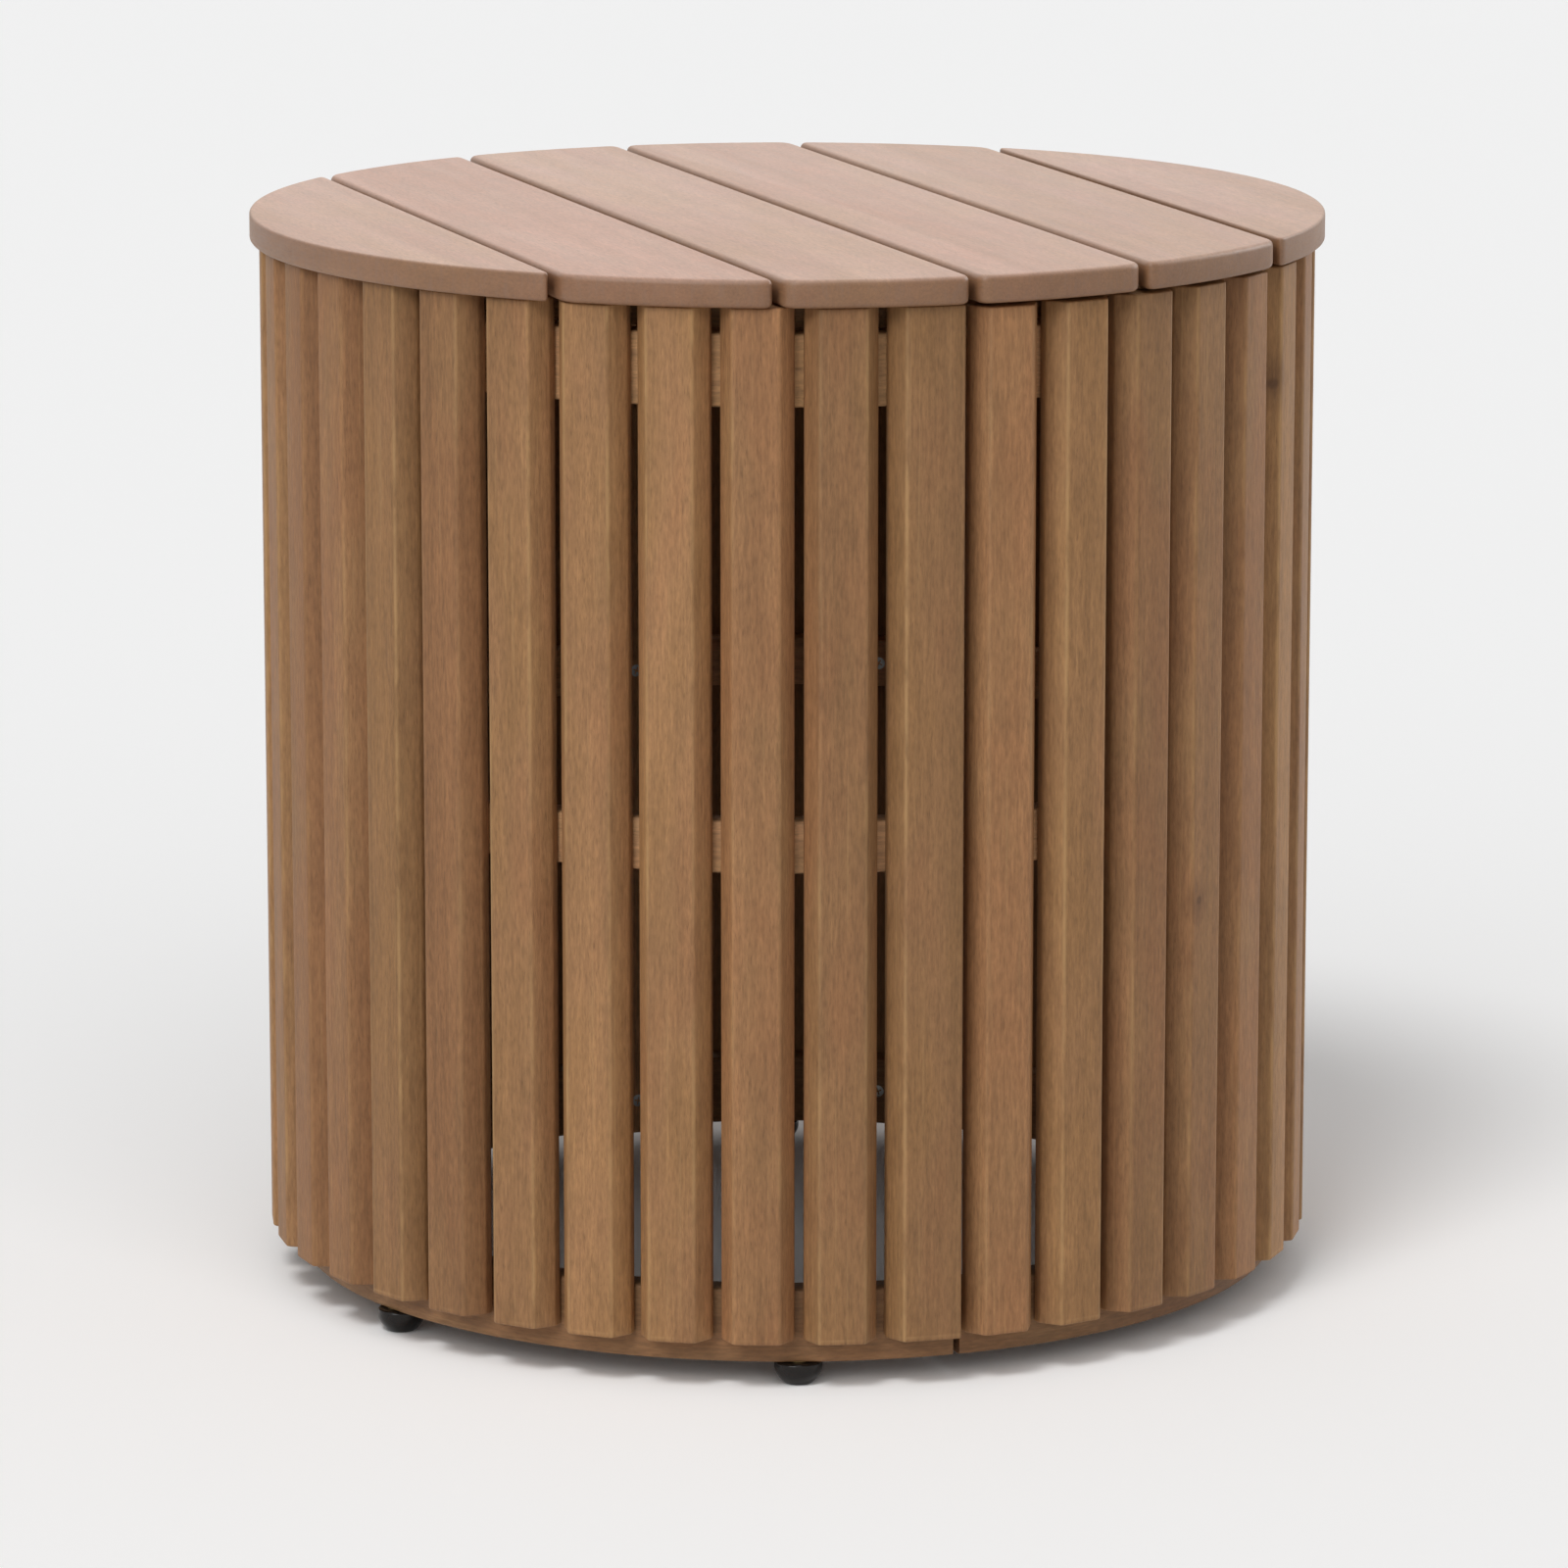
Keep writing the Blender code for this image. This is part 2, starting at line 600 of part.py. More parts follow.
def make_feet(plastic, steel, parts):
    shank = STEM_DIAMETER / 2
    flange = STEM_FLANGE_DIAMETER / 2
    flange_low, flange_high = STEM_FLANGE_HEIGHTS
    stem_profile = [
        (0.0, STEM_TOP_HEIGHT), (shank - STEM_END_CHAMFER, STEM_TOP_HEIGHT),
        (shank, STEM_TOP_HEIGHT - STEM_END_CHAMFER),
        (shank, flange_high), (flange, flange_high), (flange, flange_low), (0.0, flange_low),
    ]
    for i, bearing in enumerate(FOOT_BEARINGS):
        place = (*on_circle(RAIL_CENTRE_RADIUS, bearing), 0.0)
        pad = turned(f"foot_pad_{i + 1}", pad_profile(), PAD_STEPS)
        pad.location = place
        finish(pad, plastic, parts)
        stem = turned(f"foot_stem_{i + 1}", stem_profile, STEM_STEPS)
        stem.location = place
        finish(stem, steel, parts)


def build():
    clear_scene()
    parts = new_collection("round_slatted_side_table")
    cutters = new_collection("cutters")
    top_wood = new_material("top_wood", (0.55, 0.40, 0.31), 0.55)
    slat_wood = new_material("slat_wood", (0.30, 0.17, 0.09), 0.55)
    rail_wood = new_material("rail_wood", (0.25, 0.14, 0.08), 0.60)
    brass = new_material("hinge_brass", (0.60, 0.44, 0.20), 0.35, 1.0)
    steel = new_material("bracket_steel", (0.52, 0.52, 0.50), 0.40, 1.0)
    nylon = new_material("black_nylon", (0.012, 0.012, 0.013), 0.35)
    wood = {"slat": slat_wood, "rail": rail_wood}

    hinge = bpy.data.objects.new("door_hinge_axis", None)
    hinge.location = (HINGE_PIN_PLACE, 0, 0)
    parts.objects.link(hinge)

    make_planks(top_wood, parts)
    make_cleats(rail_wood, parts)
    make_brackets(steel, parts)
    make_fixed_panel("back_right", 90, (HINGE_SIDE_GAP, FIT_GAP), wood, parts, cutters)
    make_fixed_panel("back_left", 180, (FIT_GAP, FIT_GAP), wood, parts, cutters)
    make_fixed_panel("front_left", 270, (FIT_GAP, DOOR_SPLIT_GAP), wood, parts, cutters)
    make_battens(rail_wood, parts)
    make_door(wood, parts, hinge)
    make_hinges(brass, parts, cutters, hinge)
    make_catch(nylon, steel, parts, hinge)
    make_feet(nylon, steel, parts)


build()
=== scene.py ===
# Round slatted side table: finished pieces, woods, metals, light and camera, in metres.
# A bearing is an angle in degrees about the table's axis, from the front towards +X.
import bmesh
import bpy
import json
import math
import random
from mathutils import Matrix, Vector

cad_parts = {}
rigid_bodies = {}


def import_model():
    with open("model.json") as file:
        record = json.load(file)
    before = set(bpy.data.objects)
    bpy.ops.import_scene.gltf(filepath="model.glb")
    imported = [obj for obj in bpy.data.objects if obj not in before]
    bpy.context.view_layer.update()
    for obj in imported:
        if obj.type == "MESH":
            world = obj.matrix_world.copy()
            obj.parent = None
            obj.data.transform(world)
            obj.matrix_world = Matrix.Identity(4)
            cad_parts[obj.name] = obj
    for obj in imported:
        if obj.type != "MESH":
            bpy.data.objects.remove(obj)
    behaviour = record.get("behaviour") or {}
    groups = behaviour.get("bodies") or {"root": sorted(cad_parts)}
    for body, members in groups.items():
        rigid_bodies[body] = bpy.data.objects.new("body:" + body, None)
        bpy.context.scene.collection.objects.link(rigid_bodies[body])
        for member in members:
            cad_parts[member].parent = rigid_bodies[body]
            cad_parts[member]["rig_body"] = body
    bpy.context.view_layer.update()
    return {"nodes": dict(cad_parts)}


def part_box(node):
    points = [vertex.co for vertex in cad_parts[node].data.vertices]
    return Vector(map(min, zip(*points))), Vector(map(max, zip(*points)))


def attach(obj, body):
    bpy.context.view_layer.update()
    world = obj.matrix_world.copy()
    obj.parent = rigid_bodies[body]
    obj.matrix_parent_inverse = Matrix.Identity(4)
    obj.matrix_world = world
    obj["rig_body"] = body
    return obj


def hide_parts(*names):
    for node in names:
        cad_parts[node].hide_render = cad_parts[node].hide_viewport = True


for spare in list(bpy.data.objects):
    bpy.data.objects.remove(spare, do_unlink=True)
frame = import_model()
print("frame loaded:", len(frame["nodes"]), "nodes")


def onCircle(radius, bearing, height=0.0):
    angle = math.radians(bearing)
    return Vector((radius * math.sin(angle), -radius * math.cos(angle), height))


def bearingOf(point):
    return math.degrees(math.atan2(point.x, -point.y)) % 360


def newObject(name, mesh, material=None):
    item = bpy.data.objects.new(name, mesh)
    bpy.context.scene.collection.objects.link(item)
    if material:
        item.data.materials.clear()
        item.data.materials.append(material)
    return item


def meshFrom(body, name, smoothAngle=35):
    bmesh.ops.recalc_face_normals(body, faces=body.faces)
    mesh = bpy.data.meshes.new(name)
    body.to_mesh(mesh)
    body.free()
    mesh.shade_smooth()
    mesh.set_sharp_from_angle(angle=math.radians(smoothAngle))
    return mesh


def bakeModifiers(item):
    # Swaps the object's mesh for its evaluated one and clears the modifiers.
    depsgraph = bpy.context.evaluated_depsgraph_get()
    mesh = bpy.data.meshes.new_from_object(item.evaluated_get(depsgraph))
    item.modifiers.clear()
    item.data = mesh
    return item


def roundedOutline(corners, turnStep=12):
    # Turns each corner (x, y, radius) of an anticlockwise outline into an arc.
    outline = []
    for i, (x, y, radius) in enumerate(corners):
        before = corners[i - 1]
        after = corners[(i + 1) % len(corners)]
        angleIn = math.atan2(y - before[1], x - before[0])
        angleOut = math.atan2(after[1] - y, after[0] - x)
        turn = math.remainder(angleOut - angleIn, math.tau)
        setback = radius * math.tan(abs(turn) / 2)
        side = math.copysign(1, turn)
        startX = x - setback * math.cos(angleIn)
        startY = y - setback * math.sin(angleIn)
        centreX = startX - side * radius * math.sin(angleIn)
        centreY = startY + side * radius * math.cos(angleIn)
        steps = max(1, round(math.degrees(abs(turn)) / turnStep))
        for k in range(steps + 1):
            angle = angleIn + turn * k / steps
            outline.append((
                centreX + side * radius * math.sin(angle),
                centreY - side * radius * math.cos(angle),
            ))
    return outline


def prism(outline, low, high, edge=0.0, segments=3):
    # Upright body on a flat outline, with both rims eased.
    body = bmesh.new()
    ring = [body.verts.new((x, y, low)) for x, y in outline]
    base = body.faces.new(ring)
    lifted = bmesh.ops.extrude_face_region(body, geom=[base])
    top = [item for item in lifted["geom"] if isinstance(item, bmesh.types.BMVert)]
    bmesh.ops.translate(body, verts=top, vec=(0, 0, high - low))
    if edge:
        rims = [e for e in body.edges if abs(e.verts[0].co.z - e.verts[1].co.z) < 1e-7]
        bmesh.ops.bevel(
            body, geom=rims, offset=edge, segments=segments, profile=0.5, affect="EDGES",
            clamp_overlap=True,
        )
    return body


def sortParts(body):
    # A cut lists its new points and faces in no fixed order, so they are put in one by their place.
    along = Vector((0.37, 0.61, 1.0))
    body.verts.sort(key=lambda vert: vert.co.dot(along))
    body.faces.sort(key=lambda face: face.calc_center_median().dot(along))
    body.verts.index_update()
    body.faces.index_update()


def turnedBody(profile, steps):
    # Solid of revolution about Z; the profile starts and ends on the axis, or is a closed loop.
    body = bmesh.new()
    closed = profile[0][0] > 0
    rings = []
    for radius, height in profile:
        if radius <= 0:
            rings.append([body.verts.new((0, 0, height))])
        else:
            angles = [math.tau * k / steps for k in range(steps)]
            rings.append([
                body.verts.new((radius * math.cos(a), radius * math.sin(a), height)) for a in angles
            ])
    pairs = list(zip(rings, rings[1:])) + ([(rings[-1], rings[0])] if closed else [])
    for upper, lower in pairs:
        for k in range(steps):
            n = (k + 1) % steps
            corners = [upper[k % len(upper)], upper[n % len(upper)],
                       lower[n % len(lower)], lower[k % len(lower)]]
            body.faces.new(list(dict.fromkeys(corners)))
    return body


# Materials

def newMaterial(name):
    material = bpy.data.materials.new(name)
    material.use_nodes = True
    return material, material.node_tree, material.node_tree.nodes["Principled BSDF"]


def plug(tree, source, target):
    tree.links.new(source, target)


def mathNode(tree, operation, first, second=None, third=None, clamp=False):
    node = tree.nodes.new("ShaderNodeMath")
    node.operation = operation
    node.use_clamp = clamp
    for socket, value in zip(node.inputs, (first, second, third)):
        if value is None:
            continue
        if isinstance(value, (int, float)):
            socket.default_value = value
        else:
            plug(tree, value, socket)
    return node.outputs[0]


def vectorNode(tree, operation, first, second=None):
    node = tree.nodes.new("ShaderNodeVectorMath")
    node.operation = operation
    for socket, value in zip(node.inputs, (first, second)):
        if value is None:
            continue
        if isinstance(value, (tuple, list)):
            socket.default_value = value
        else:
            plug(tree, value, socket)
    return node.outputs["Value" if operation in ("LENGTH", "DOT_PRODUCT") else "Vector"]


def attributeNode(tree, name, output):
    node = tree.nodes.new("ShaderNodeAttribute")
    node.attribute_name = name
    return node.outputs[output]


def noiseNode(tree, vector, scale, detail=3.0, roughness=0.5, distortion=0.0):
    node = tree.nodes.new("ShaderNodeTexNoise")
    plug(tree, vector, node.inputs["Vector"])
    node.inputs["Scale"].default_value = scale
    node.inputs["Detail"].default_value = detail
    node.inputs["Roughness"].default_value = roughness
    node.inputs["Distortion"].default_value = distortion
    return node.outputs["Fac"]


def rangeNode(tree, value, low, high, toLow, toHigh):
    node = tree.nodes.new("ShaderNodeMapRange")
    plug(tree, value, node.inputs["Value"])
    node.inputs["From Min"].default_value = low
    node.inputs["From Max"].default_value = high
    node.inputs["To Min"].default_value = toLow
    node.inputs["To Max"].default_value = toHigh
    return node.outputs["Result"]


def mixColour(tree, factor, first, second, blend="MIX"):
    node = tree.nodes.new("ShaderNodeMix")
    node.data_type = "RGBA"
    node.blend_type = blend
    for name, value in (("Factor_Float", factor), ("A_Color", first), ("B_Color", second)):
        socket = next(s for s in node.inputs if s.identifier == name)
        if isinstance(value, (int, float)):
            socket.default_value = value
        elif isinstance(value, tuple):
            socket.default_value = (*value, 1.0)
        else:
            plug(tree, value, socket)
    return next(s for s in node.outputs if s.identifier == "Result_Color")


def stretchedNoise(tree, place, stretch, *settings):
    return noiseNode(tree, vectorNode(tree, "MULTIPLY", place, stretch), *settings)


def addBump(tree, shader, height, strength, distance):
    bump = tree.nodes.new("ShaderNodeBump")
    bump.inputs["Strength"].default_value = strength
    bump.inputs["Distance"].default_value = distance
    plug(tree, height, bump.inputs["Height"])
    plug(tree, bump.outputs["Normal"], shader.inputs["Normal"])


# Noise over the grain coordinates: stretch of the three axes, scale, detail, roughness, distortion
woodNoise = {
    "figure": ((1.0, 1.0, 0.055), 30, 4.0, 0.55, 0.6),
    "fibre": ((1.0, 1.0, 0.045), 760, 3.0, 0.6),
    "mottle": ((1.0, 1.0, 0.30), 95, 3.0, 0.6),
    "fleck": ((1.0, 1.0, 0.22), 700, 2.0, 0.6),
    "streak": ((1.0, 1.0, 0.016), 520, 1.0, 0.5),
    "drift": ((4.0, 4.0, 1.0), 9, 2.0, 0.5),
    "pore": ((1.0, 1.0, 0.10), 2100, 1.0, 0.5),
    "tick": ((1.0, 0.22, 1.0), 420, 2.0, 0.6),
}
ringWave = {"Distortion": 5.0, "Detail": 3.0, "Detail Scale": 1.2}


def growthRings(tree, place, scale):
    rings = tree.nodes.new("ShaderNodeTexWave")
    rings.wave_type = "RINGS"
    rings.rings_direction = "Z"
    rings.wave_profile = "SIN"
    plug(tree, vectorNode(tree, "MULTIPLY", place, (1.0, 1.0, 0.10)), rings.inputs["Vector"])
    for socket, value in {"Scale": scale, **ringWave}.items():
        rings.inputs[socket].default_value = value
    return rings.outputs["Fac"]


def knotMark(tree, mottle):
    # How dark a knot is, from the distance to its heart in metres: a dark heart in a softer halo.
    knot = attributeNode(tree, "knot", "Vector")
    away = vectorNode(tree, "LENGTH", vectorNode(tree, "MULTIPLY", knot, (1.0, 0.3, 0.75)))
    away = mathNode(tree, "MULTIPLY_ADD", mottle, 0.004, away)
    heart = rangeNode(tree, away, 0.0035, 0.0062, 1.0, 0.0)
    heart = mathNode(tree, "MULTIPLY", heart, rangeNode(tree, away, 0.0, 0.003, 0.35, 0.9))
    halo = rangeNode(tree, away, 0.005, 0.016, 0.45, 0.0)
    mark = mathNode(tree, "MAXIMUM", heart, halo)
    return mathNode(tree, "MULTIPLY", mark, attributeNode(tree, "knotted", "Fac"), clamp=True)


def woodMaterial(name, look):
    # Solid wood whose grain runs along the third axis of the piece's own grain coordinates.
    material, tree, shader = newMaterial(name)
    place = vectorNode(
        tree, "ADD", attributeNode(tree, "grain", "Vector"), attributeNode(tree, "shift", "Vector"),
    )
    noise = {layer: stretchedNoise(tree, place, *settings) for layer, settings in woodNoise.items()}
    pores = rangeNode(tree, noise["pore"], 0.62, 0.74, 0.0, 1.0)

    # Broad figure and growth lines, tinted warmer or cooler from piece to piece and along each one
    body = mathNode(tree, "MULTIPLY_ADD", noise["figure"], 1.5, -0.25, clamp=True)
    rings = growthRings(tree, place, look["ringScale"])
    body = mathNode(tree, "MULTIPLY_ADD", rings, look["ringStrength"], body, clamp=True)
    colour = mixColour(tree, body, look["dark"], look["light"])
    drift = rangeNode(tree, noise["drift"], 0.3, 0.7, -0.5, 0.5)
    tone = mathNode(tree, "ADD", attributeNode(tree, "tone", "Fac"), drift, clamp=True)
    for tint, neutral, full in (("warmTint", 0.45, 1.0), ("coolTint", 0.55, 0.0)):
        strength = rangeNode(tree, tone, neutral, full, 0.0, 1.0)
        colour = mixColour(tree, strength, colour, look[tint], "MULTIPLY")

    # Lighter and darker pieces, fibres, blotches and flecks
    spread = look["levelSpread"]
    level = attributeNode(tree, "level", "Fac")
    shade = rangeNode(tree, level, -1.0, 1.0, 1.0 - spread, 1.0 + spread)
    for layer in ("fibre", "mottle", "fleck"):
        swing = rangeNode(tree, noise[layer], 0.3, 0.7, 1.0 - look[layer], 1.0 + look[layer])
        shade = mathNode(tree, "MULTIPLY", shade, swing)
    grey = tree.nodes.new("ShaderNodeCombineColor")
    for socket in grey.inputs[:3]:
        plug(tree, shade, socket)
    colour = mixColour(tree, 1.0, colour, grey.outputs[0], "MULTIPLY")
    poreStrength = mathNode(tree, "MULTIPLY", pores, look["pores"])
    colour = mixColour(tree, poreStrength, colour, look["poreColour"])

    # Thin golden fibres run along the faces, and a paler, yellower line along the arrises is a painted
    # highlight
    golden = rangeNode(tree, noise["streak"], 0.64, 0.76, 0.0, look["streaks"])
    colour = mixColour(tree, golden, colour, look["streakAndHighlightColour"])
    highlightMask = mathNode(tree, "MULTIPLY", attributeNode(tree, "edge", "Fac"), look["arrisHighlight"])
    patchy = rangeNode(tree, noise["mottle"], 0.35, 0.55, 0.15, 1.0)
    highlightMask = mathNode(tree, "MULTIPLY", highlightMask, patchy, clamp=True)
    highlightMask = mathNode(tree, "MULTIPLY", highlightMask, rangeNode(tree, tone, 0.15, 0.8, 1.0, 0.25))
    colour = mixColour(tree, highlightMask, colour, look["streakAndHighlightColour"])

    # Upright sides are darkened by a painted shade, and show dark ticks of end grain
    uprightFaces = attributeNode(tree, "side", "Fac")
    colour = mixColour(tree, uprightFaces, colour, look["sideShadeTint"], "MULTIPLY")
    ticks = mathNode(tree, "MULTIPLY", rangeNode(tree, noise["tick"], 0.50, 0.72, 0.0, 0.42), uprightFaces)
    colour = mixColour(tree, ticks, colour, look["poreColour"])
    colour = mixColour(tree, knotMark(tree, noise["mottle"]), colour, look["knotColour"])
    plug(tree, colour, shader.inputs["Base Color"])

    gloss = look["roughness"]
    gloss = rangeNode(tree, noise["fibre"], 0.3, 0.7, gloss - 0.05, gloss + 0.07)
    plug(tree, gloss, shader.inputs["Roughness"])
    shader.inputs["Specular IOR Level"].default_value = look["specular"]
    relief = mathNode(tree, "MULTIPLY_ADD", pores, -0.9, noise["fibre"])
    relief = mathNode(tree, "MULTIPLY_ADD", noise["fleck"], 0.5, relief)
    addBump(tree, shader, relief, look["bump"], 0.00025)
    return material


slatLook = {
    "dark": (0.238, 0.123, 0.053), "light": (0.387, 0.202, 0.090),
    "warmTint": (1.0, 0.93, 0.92), "coolTint": (0.98, 0.98, 0.91),
    "ringScale": 46.0, "ringStrength": 0.14,
    "fibre": 0.11, "mottle": 0.07, "fleck": 0.16, "levelSpread": 0.14, "streaks": 0.16,
    "pores": 0.34, "poreColour": (0.120, 0.058, 0.025),
    "arrisHighlight": 0.60, "streakAndHighlightColour": (0.560, 0.340, 0.150),
    "knotColour": (0.125, 0.060, 0.028), "sideShadeTint": (1.0, 1.0, 1.0),
    "roughness": 0.56, "specular": 0.30, "bump": 0.40,
}
# The top's wood is paler than the slats': painted light and sheen from above, and its side tint is a
# painted shade that brings the upright plank sides back down
litTopLook = dict(
    slatLook, dark=(0.550, 0.345, 0.255), light=(0.715, 0.480, 0.385),
    warmTint=(1.01, 0.97, 0.96), coolTint=(0.99, 1.0, 0.95), ringScale=30.0, ringStrength=0.12,
    fibre=0.07, mottle=0.045, fleck=0.08, levelSpread=0.04, streaks=0.10,
    pores=0.30, poreColour=(0.25, 0.145, 0.095), arrisHighlight=0.0, sideShadeTint=(0.41, 0.315, 0.205),
    roughness=0.46, specular=0.6, bump=0.25,
)
# Rails, cleats and battens use the slats' wood made nearly twice as pale: painted light on bars that
# stand in shade behind the slats and under the top
litRailLook = dict(
    slatLook, dark=(0.465, 0.250, 0.116), light=(0.715, 0.418, 0.209), levelSpread=0.06, arrisHighlight=0.3,
)
# The bottom bars get a darker copy of the rail wood: painted shade along the foot of the wall
shadedRingLook = dict(litRailLook, dark=(0.176, 0.089, 0.039), light=(0.281, 0.153, 0.069))


def plasticMaterial(name, colour, roughness, specular):
    material, tree, shader = newMaterial(name)
    place = tree.nodes.new("ShaderNodeTexCoord").outputs["Object"]
    speck = noiseNode(tree, place, 900, 2.0, 0.6)
    cloud = noiseNode(tree, place, 60, 3.0, 0.5)
    lifted = tuple(channel * 1.5 + 0.002 for channel in colour)
    plug(tree, mixColour(tree, cloud, colour, lifted), shader.inputs["Base Color"])
    gloss = rangeNode(tree, speck, 0.3, 0.7, roughness - 0.04, roughness + 0.08)
    plug(tree, gloss, shader.inputs["Roughness"])
    shader.inputs["Specular IOR Level"].default_value = specular
    addBump(tree, shader, speck, 0.12, 0.0001)
    return material


def metalMaterial(name, colour, roughness):
    material, tree, shader = newMaterial(name)
    place = tree.nodes.new("ShaderNodeTexCoord").outputs["Object"]
    tarnish = rangeNode(tree, noiseNode(tree, place, 140, 4.0, 0.6), 0.35, 0.7, 0.0, 0.8)
    scratch = stretchedNoise(tree, place, (1.0, 1.0, 0.08), 1800, 2.0, 0.6)
    dull = tuple(channel * 0.62 for channel in colour)
    plug(tree, mixColour(tree, tarnish, colour, dull), shader.inputs["Base Color"])
    shader.inputs["Metallic"].default_value = 1.0
    gloss = rangeNode(tree, scratch, 0.3, 0.7, roughness - 0.08, roughness + 0.12)
    plug(tree, gloss, shader.inputs["Roughness"])
    addBump(tree, shader, scratch, 0.15, 0.00005)
    return material


slatWood = woodMaterial("slatWood", slatLook)
litTopWood = woodMaterial("litTopWood", litTopLook)
litRailWood = woodMaterial("litRailWood", litRailLook)
shadedRingWood = woodMaterial("shadedRingWood", shadedRingLook)
footNylon = plasticMaterial("footNylon", (0.008, 0.006, 0.005), 0.13, 0.28)
hingeBrass = metalMaterial("hingeBrass", (0.66, 0.46, 0.20), 0.34)
zincSteel = metalMaterial("zincSteel", (0.60, 0.60, 0.58), 0.36)
yellowZinc = metalMaterial("yellowZinc", (0.62, 0.50, 0.27), 0.34)
print("materials made")


def storeValues(mesh, name, kind, values):
    # Writes one value for each point, as an attribute that the materials read.
    layer = mesh.attributes.get(name) or mesh.attributes.new(name, kind, "POINT")
    layer.data.foreach_set("vector" if kind == "FLOAT_VECTOR" else "value", values)


def layGrain(mesh, toGrain, seed, sides=False):
    # Gives a piece its own stretch of wood: grain coordinates, tone, level and, when asked, how upright
    # its faces are, for the painted side shade.
    chance = random.Random(seed)
    shift = [chance.uniform(-3, 3) for axis in range(3)]
    toneValue = chance.random()
    levelValue = chance.uniform(-1, 1)
    count = len(mesh.vertices)
    storeValues(mesh, "grain", "FLOAT_VECTOR", [c for v in mesh.vertices for c in toGrain(v.co)])
    storeValues(mesh, "shift", "FLOAT_VECTOR", shift * count)
    storeValues(mesh, "tone", "FLOAT", [toneValue] * count)
    storeValues(mesh, "level", "FLOAT", [levelValue] * count)
    # How upright each face is: the material darkens these faces with a painted side shade
    if sides:
        storeValues(mesh, "side", "FLOAT", [1 - max(0.0, v.normal.z) ** 3 for v in mesh.vertices])


# The round top: planks with soft edges

topSettings = {
    "planks": 6, "edge": 0.0028, "segments": 4, "corner": 0.0075, "cornerSteps": 8, "arcStep": 1.5,
    "seed": 40,
}
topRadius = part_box("top_plank_6")[1].x


def plankOutline(xMin, xMax):
    # Slice of the disc between two straight cuts, with its corners rounded in plan.
    def arc(first, last):
        count = max(2, round(abs(last - first) / topSettings["arcStep"]))
        return [first + (last - first) * i / count for i in range(count + 1)]
    corner = topSettings["corner"]
    slack = 1e-5
    leftTip = xMin <= -topRadius + slack
    rightTip = xMax >= topRadius - slack
    first = -90 if leftTip else math.degrees(math.asin(xMin / topRadius))
    last = 90 if rightTip else math.degrees(math.asin(xMax / topRadius))
    points = [(onCircle(topRadius, b).x, onCircle(topRadius, b).y, 0.0) for b in arc(first, last)]
    if not leftTip:
        points[0] = (*points[0][:2], corner)
    if not rightTip:
        points[-1] = (*points[-1][:2], corner)
    far = [(x, -y, radius) for x, y, radius in reversed(points)]
    if rightTip:
        far = far[1:]
    if leftTip:
        far = far[:-1]
    return trimmedCorners(points + far)


def trimmedCorners(points):
    # Replaces each marked corner and the points within its setback by a smooth curve.
    kept = []
    for i, (x, y, radius) in enumerate(points):
        here = Vector((x, y))
        if radius == 0:
            near = [p for p in points if p[2] > 0 and (Vector(p[:2]) - here).length < p[2]]
            if not near:
                kept.append((x, y))
            continue
        start = pointAlong(points, i, -1, radius)
        end = pointAlong(points, i, 1, radius)
        for k in range(topSettings["cornerSteps"] + 1):
            t = k / topSettings["cornerSteps"]
            a = start.lerp(here, t)
            b = here.lerp(end, t)
            kept.append(tuple(a.lerp(b, t)))
    return kept


def pointAlong(points, index, step, distance):
    # Walks from a corner along the outline until the given distance is used up.
    here = Vector(points[index][:2])
    left = distance
    while True:
        index = (index + step) % len(points)
        there = Vector(points[index][:2])
        span = (there - here).length
        if span >= left:
            return here.lerp(there, left / span)
        left -= span
        here = there


def makeTop():
    s = topSettings
    for i in range(s["planks"]):
        node = f"top_plank_{i + 1}"
        low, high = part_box(node)
        body = prism(plankOutline(low.x, high.x), low.z, high.z, s["edge"], s["segments"])
        mesh = meshFrom(body, node)
        middle = (low.x + high.x) / 2
        layGrain(mesh, lambda p: Vector((p.x - middle, p.z, p.y)), s["seed"] + i, sides=True)
        plank = newObject(f"plank_{i + 1}", mesh, litTopWood)
        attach(plank, "table_body")
        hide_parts(node)


makeTop()
print("top made")


# Slats: one shaped slat, repeated round the wall by a node tree

slatSettings = {
    "width": 0.0358, "flat": 0.0230, "chamferDepth": 0.0106, "thickness": 0.0157, "front": 0.270,
    "crease": 0.0032, "backRound": 0.001, "squareRound": 0.0016, "endEase": 0.0020, "arcTurn": 11,
    "pitch": 9.0, "drop": 0.0003, "levelSeed": 19586, "arrisShineWidth": 0.0013, "footShineHeight": 0.0012,
}
slatRings = {
    "wall": {"count": 29, "startBearing": 94.5, "seed": 11},
    "split": {"count": 1, "startBearing": 355.5, "seed": 5},
    "door": {"count": 10, "startBearing": 4.5, "seed": 23},
}


def slatOutline(squareRight=False):
    s = slatSettings
    half, flat = s["width"] / 2, s["flat"] / 2
    front, back = -s["front"], -s["front"] + s["thickness"]
    shoulder = front + s["chamferDepth"]
    right = [(flat, front, s["crease"]), (half, shoulder, s["crease"])]
    if squareRight:
        right = [(half, front, s["squareRound"])]
    return roundedOutline([
        (-half, back, s["backRound"]), (-half, shoulder, s["crease"]), (-flat, front, s["crease"]),
        *right, (half, back, s["backRound"]),
    ], turnStep=s["arcTurn"])


